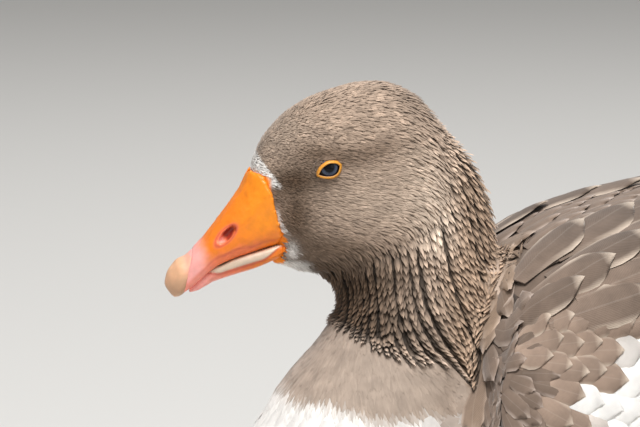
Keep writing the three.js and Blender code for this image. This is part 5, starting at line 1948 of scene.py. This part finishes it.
def lay_vane(plume: Plume, row: FeatherRow, points: Array, normals: Array, places: Array,
             colour: Array, fringe: Array, patch: Array) -> None:
    """Adds one long closed vane with a raised shaft to a piece.

    Args:
        plume: the piece.
        row: the row that the feather belongs to.
        points: the vane's upper points, in millimetres.
        normals: the normals there.
        places: each point's place across the vane and along it.
        colour: the vane's colour.
        fringe: the colour of its edge.
        patch: the place of its root in the skin's unwrap.
    """
    wide = row.columns + 1
    a, s = places.T
    shaft = np.exp(-((a / 0.10) ** 2)) * mix(0.75, 0.25, s)
    top = (points + normals * shaft[:, None]) * MM
    edge = 1 - smooth(np.abs(a), 0.6, 1.0)
    bottom = (points - normals * (0.35 + 0.45 * edge)[:, None]) * MM
    size = len(points)
    faces = []
    for i in range(row.rows):
        for j in range(row.columns):
            p, q, r, t = i * wide + j, i * wide + j + 1, (i + 1) * wide + j + 1, (i + 1) * wide + j
            faces += [(p, q, r), (p, r, t), (p + size, r + size, q + size), (p + size, t + size, r + size)]
        for j in (0, row.columns):
            p, t = i * wide + j, (i + 1) * wide + j
            quad = [(p, t, t + size), (p, t + size, p + size)]
            faces += quad if j == 0 else [face[::-1] for face in quad]
    for i in (0, row.rows):
        for j in range(row.columns):
            p, q = i * wide + j, i * wide + j + 1
            quad = [(p, p + size, q + size), (p, q + size, q)]
            faces += quad if i == 0 else [face[::-1] for face in quad]
    faces = np.array(faces)
    first = np.cross(top[faces[0, 1]] - top[faces[0, 0]], top[faces[0, 2]] - top[faces[0, 0]])
    if np.dot(first, normals[faces[0, 0]]) < 0:
        faces = faces[:, ::-1]
    outer = np.maximum(smooth(np.abs(a), 0.86, 1.0), smooth(s, 0.965, 1.0))
    shade = mix(0.90, 1.04, s) * mix(1.0, 0.95, smooth(a, -0.2, 0.2))
    painted = mix(colour * shade[:, None], fringe, outer[:, None] * 0.8)
    plume.places.append(np.vstack([top, bottom]))
    plume.colours.append(np.vstack([painted, painted * 0.85]))
    plume.faces.append(faces + plume.count)
    flat = np.tile(np.stack([a * 0.5 + 0.5, s], -1), (2, 1))[faces].reshape(-1, 2)
    plume.vanes.append(flat)
    plume.patches.append(patch + (flat - 0.5) * 0.003)
    plume.rims.append(np.tile((np.abs(a) == 1) | (s == 0) | (s == 1), 2))
    plume.count += 2 * size


@dataclass
class FlightFeathers:
    """The long feathers of both folded wings, and the fan of the tail."""

    secondaries: FeatherRow = FeatherRow(6, 1.2, 1.4, 0.1, (0, -1, 0.8))
    tertials: FeatherRow = FeatherRow(4, 1.4, 1.6, 0.13, (0, -1, 0.8))
    primaries: FeatherRow = FeatherRow(5, 1.2, 1.3, 0.16, (0, -0.7, 1))
    tail: FeatherRow = FeatherRow(9, 1.3, 1.5, 0.12, (0, 0, 1))
    tail_root: float = 20.0
    tail_x: float = 240.0
    tail_z: float = 185.0
    tail_length: float = 88.1
    tail_spread: float = 38.0
    tail_rise: float = 11.0
    tail_droop: float = 9.0

    def laid(self, roots: list[list[float]], tips: list[list[float]]) -> Surface:
        """A row's surface over the trunk between the roots and the tips of its first and last feathers."""

        def at(s: Array, t: Array) -> Array:
            """The row's point at a place along its feathers and across it."""
            root = mix(np.array(roots[0]), np.array(roots[1]), t[:, None])
            tip = mix(np.array(tips[0]), np.array(tips[1]), t[:, None])
            x, angle, lift = mix(root, tip, s[:, None]).T
            return over_trunk(x, np.radians(angle), lift)

        return at

    def folded(self, s: Array, t: Array) -> Array:
        """The surface of the folded primaries."""
        u = (s * mix(0.86, 1.12, t))[:, None]
        start, pull, end = np.array([140, -95, 182]), np.array([205, -74, 197]), np.array([268, -40, 202])
        point = start * (1 - u) ** 2 + pull * 2 * u * (1 - u) + end * u ** 2
        out = mix(-6, 12, t) * mix(1.5, 0.9, s)
        up = mix(-13, 13, t) * mix(1.3, 0.6, s)
        return point + np.stack([0 * out, out, up], -1)

    def fan(self, s: Array, t: Array) -> Array:
        """The surface of the tail's fan."""
        across = 2 * t - 1
        heading = across * math.radians(self.tail_spread)
        length = s * self.tail_length * (1 - 0.14 * across ** 2)
        rise = math.sin(math.radians(self.tail_rise))
        return np.stack([
            self.tail_x + length * np.cos(heading),
            self.tail_root * across + length * np.sin(heading),
            self.tail_z + length * rise - self.tail_droop * across ** 2 * mix(0.5, 1, s),
        ], -1)

    def build(self, skin: Skin, material: Material) -> None:
        """Makes each row as a piece."""
        secondaries = self.laid([[50, 84, 3], [40, 58, 6.5]], [[134, 91, 3.5], [194, 60, 8]])
        tertials = self.laid([[20, 60, 9], [36, 22, 4]], [[168, 62, 11], [202, 27, 8]])
        rows = {
            "secondaries": (self.secondaries, secondaries),
            "tertials": (self.tertials, tertials),
            "primaries": (self.primaries, self.folded),
        }
        for name, (row, surface) in rows.items():
            for side in Side:
                self.build_row(skin, f"{name}_{side.label}", row, surface, side, material)
        self.build_row(skin, "tail", self.tail, self.fan, Side.LEFT, material)

    def build_row(
        self, skin: Skin, node: str, row: FeatherRow, surface: Surface, side: Side, material: Material,
    ) -> None:
        """Makes one row of feathers as a piece.

        Args:
            skin: the skin.
            node: the CAD node that it stands for.
            row: the row's sizes.
            surface: the surface that it lies on.
            side: the side of the goose.
            material: the feathers' finish.
        """
        rng = np.random.default_rng(71)
        plume = Plume(f"feathers_{node}")
        for which in range(row.count):
            points, normals, places = row.feather(surface, which, rng)
            flip = np.array([1.0, -float(side), 1.0])
            root = points[row.columns // 2] * flip * MM
            hit = skin.tree.find_nearest(Vector(root))
            shade = WHITE * rng.uniform(0.9, 1.0)
            lay_vane(plume, row, points * flip, normals * flip, places, shade, np.minimum(WHITE * 1.05, 0.95),
                     skin.unwrapped[hit[2]])
        finish_piece(plume.build(material), [node])


# ---------- studio
@dataclass
class Studio:
    """A pale floor, soft light from above and the camera."""

    azimuth: float = -15.0
    elevation: float = 9.0
    distance: float = 2.6
    target: tuple[float, float, float] = (-0.255046, 0.011802, 0.253859)
    view_width: float = 0.307
    sensor: float = 36.0
    room_light: float = 0.27

    def build(self) -> None:
        """Sets the whole studio up."""
        self.add_floor()
        self.add_lights()
        self.add_camera()

    def add_camera(self) -> None:
        """Adds the camera, which looks at the goose's head from its left side."""
        turn, rise = math.radians(self.azimuth), math.radians(self.elevation)
        back = Vector((math.sin(turn) * math.cos(rise), -math.cos(turn) * math.cos(rise), math.sin(rise)))
        camera = bpy.data.cameras.new("camera")
        camera.sensor_width = self.sensor
        camera.lens = self.sensor * self.distance / self.view_width
        camera.clip_end = 60
        viewer = bpy.data.objects.new("camera", camera)
        viewer.location = Vector(self.target) + back * self.distance
        viewer.rotation_euler = back.to_track_quat("Z", "Y").to_euler()
        bpy.context.scene.collection.objects.link(viewer)
        bpy.context.scene.camera = viewer

    def add_floor(self) -> None:
        """Adds the floor."""
        deselect_all()
        bpy.ops.mesh.primitive_plane_add(size=24)
        floor = bpy.context.object
        floor.name = "floor"
        floor.data.materials.append(PlainFinish("floor_paint", (0.62, 0.61, 0.59)).make())

    def add_lights(self) -> None:
        """Adds the soft lights and the even light of the room."""
        lights = (
            ("key", (-0.6, -1.05, 2.75), 1.5, 100.0),
            ("fill", (0.9, -2.4, 1.2), 1.8, 8.0),
            ("rim", (0.6, 1.8, 2.0), 1.4, 22.0),
        )
        for name, place, size, power in lights:
            light = bpy.data.lights.new(name, "AREA")
            light.shape = "DISK"
            light.size = size
            light.energy = power
            lamp = bpy.data.objects.new(name, light)
            lamp.location = place
            aim = Vector(place) - Vector((-0.2, 0, 0.22))
            lamp.rotation_euler = aim.to_track_quat("Z", "Y").to_euler()
            bpy.context.scene.collection.objects.link(lamp)
        world = bpy.data.worlds.new("room")
        world.use_nodes = True
        room = world.node_tree.nodes["Background"].inputs
        room["Color"].default_value = (1.0, 0.985, 0.96, 1)
        room["Strength"].default_value = self.room_light
        bpy.context.scene.world = world
        bpy.context.scene.view_settings.view_transform = "Standard"


def main() -> None:
    """Builds the goose and its studio in order."""
    logging.basicConfig(level=logging.INFO, format="%(message)s", stream=sys.stdout)
    fine = PlumageFinish("fine_plumage").make()
    horn = HornFinish("horn").make()
    vaned = PlumageFinish("vaned_plumage", barbs=210.0).make()
    skin = Skin()
    body = skin.build()
    body.data.materials.append(fine)
    body.data.materials.append(horn)
    place = Place(read(body.data.polygons, "center", 3, float))
    bare = (place.on_bill() > 0) & (place.forward > 56) & (place.z > 231)
    body.data.polygons.foreach_set("material_index", bare.astype(np.int32))
    finish_piece(body, list(skin.nodes))
    lie = Lie(skin)
    HeadCoat().build(skin, lie, fine)
    Mane().build(skin, lie, fine)
    NeckBaseCoat().build(skin, lie, fine)
    BodyCoat().build(skin, lie, vaned)
    long_vaned = PlumageFinish("long_plumage", barbs=420.0, shaft=0.3).make()
    scaled = HornFinish("scaled_skin", roughness=0.5, pore_scale=900.0, pore_depth=0.25, coat=0.05).make()
    wet = EyeFinish("wet_eye").make()
    FlightFeathers().build(skin, long_vaned)
    Bill().build(skin, horn)
    for side in Side:
        WingCoverts(side).build(skin, vaned)
        eye = Eye(side)
        eye.build_ball(wet)
        eye.build_lids(horn)
        Leg(side).build(scaled, horn)
    Studio().build()


if __name__ == "__main__":
    main()
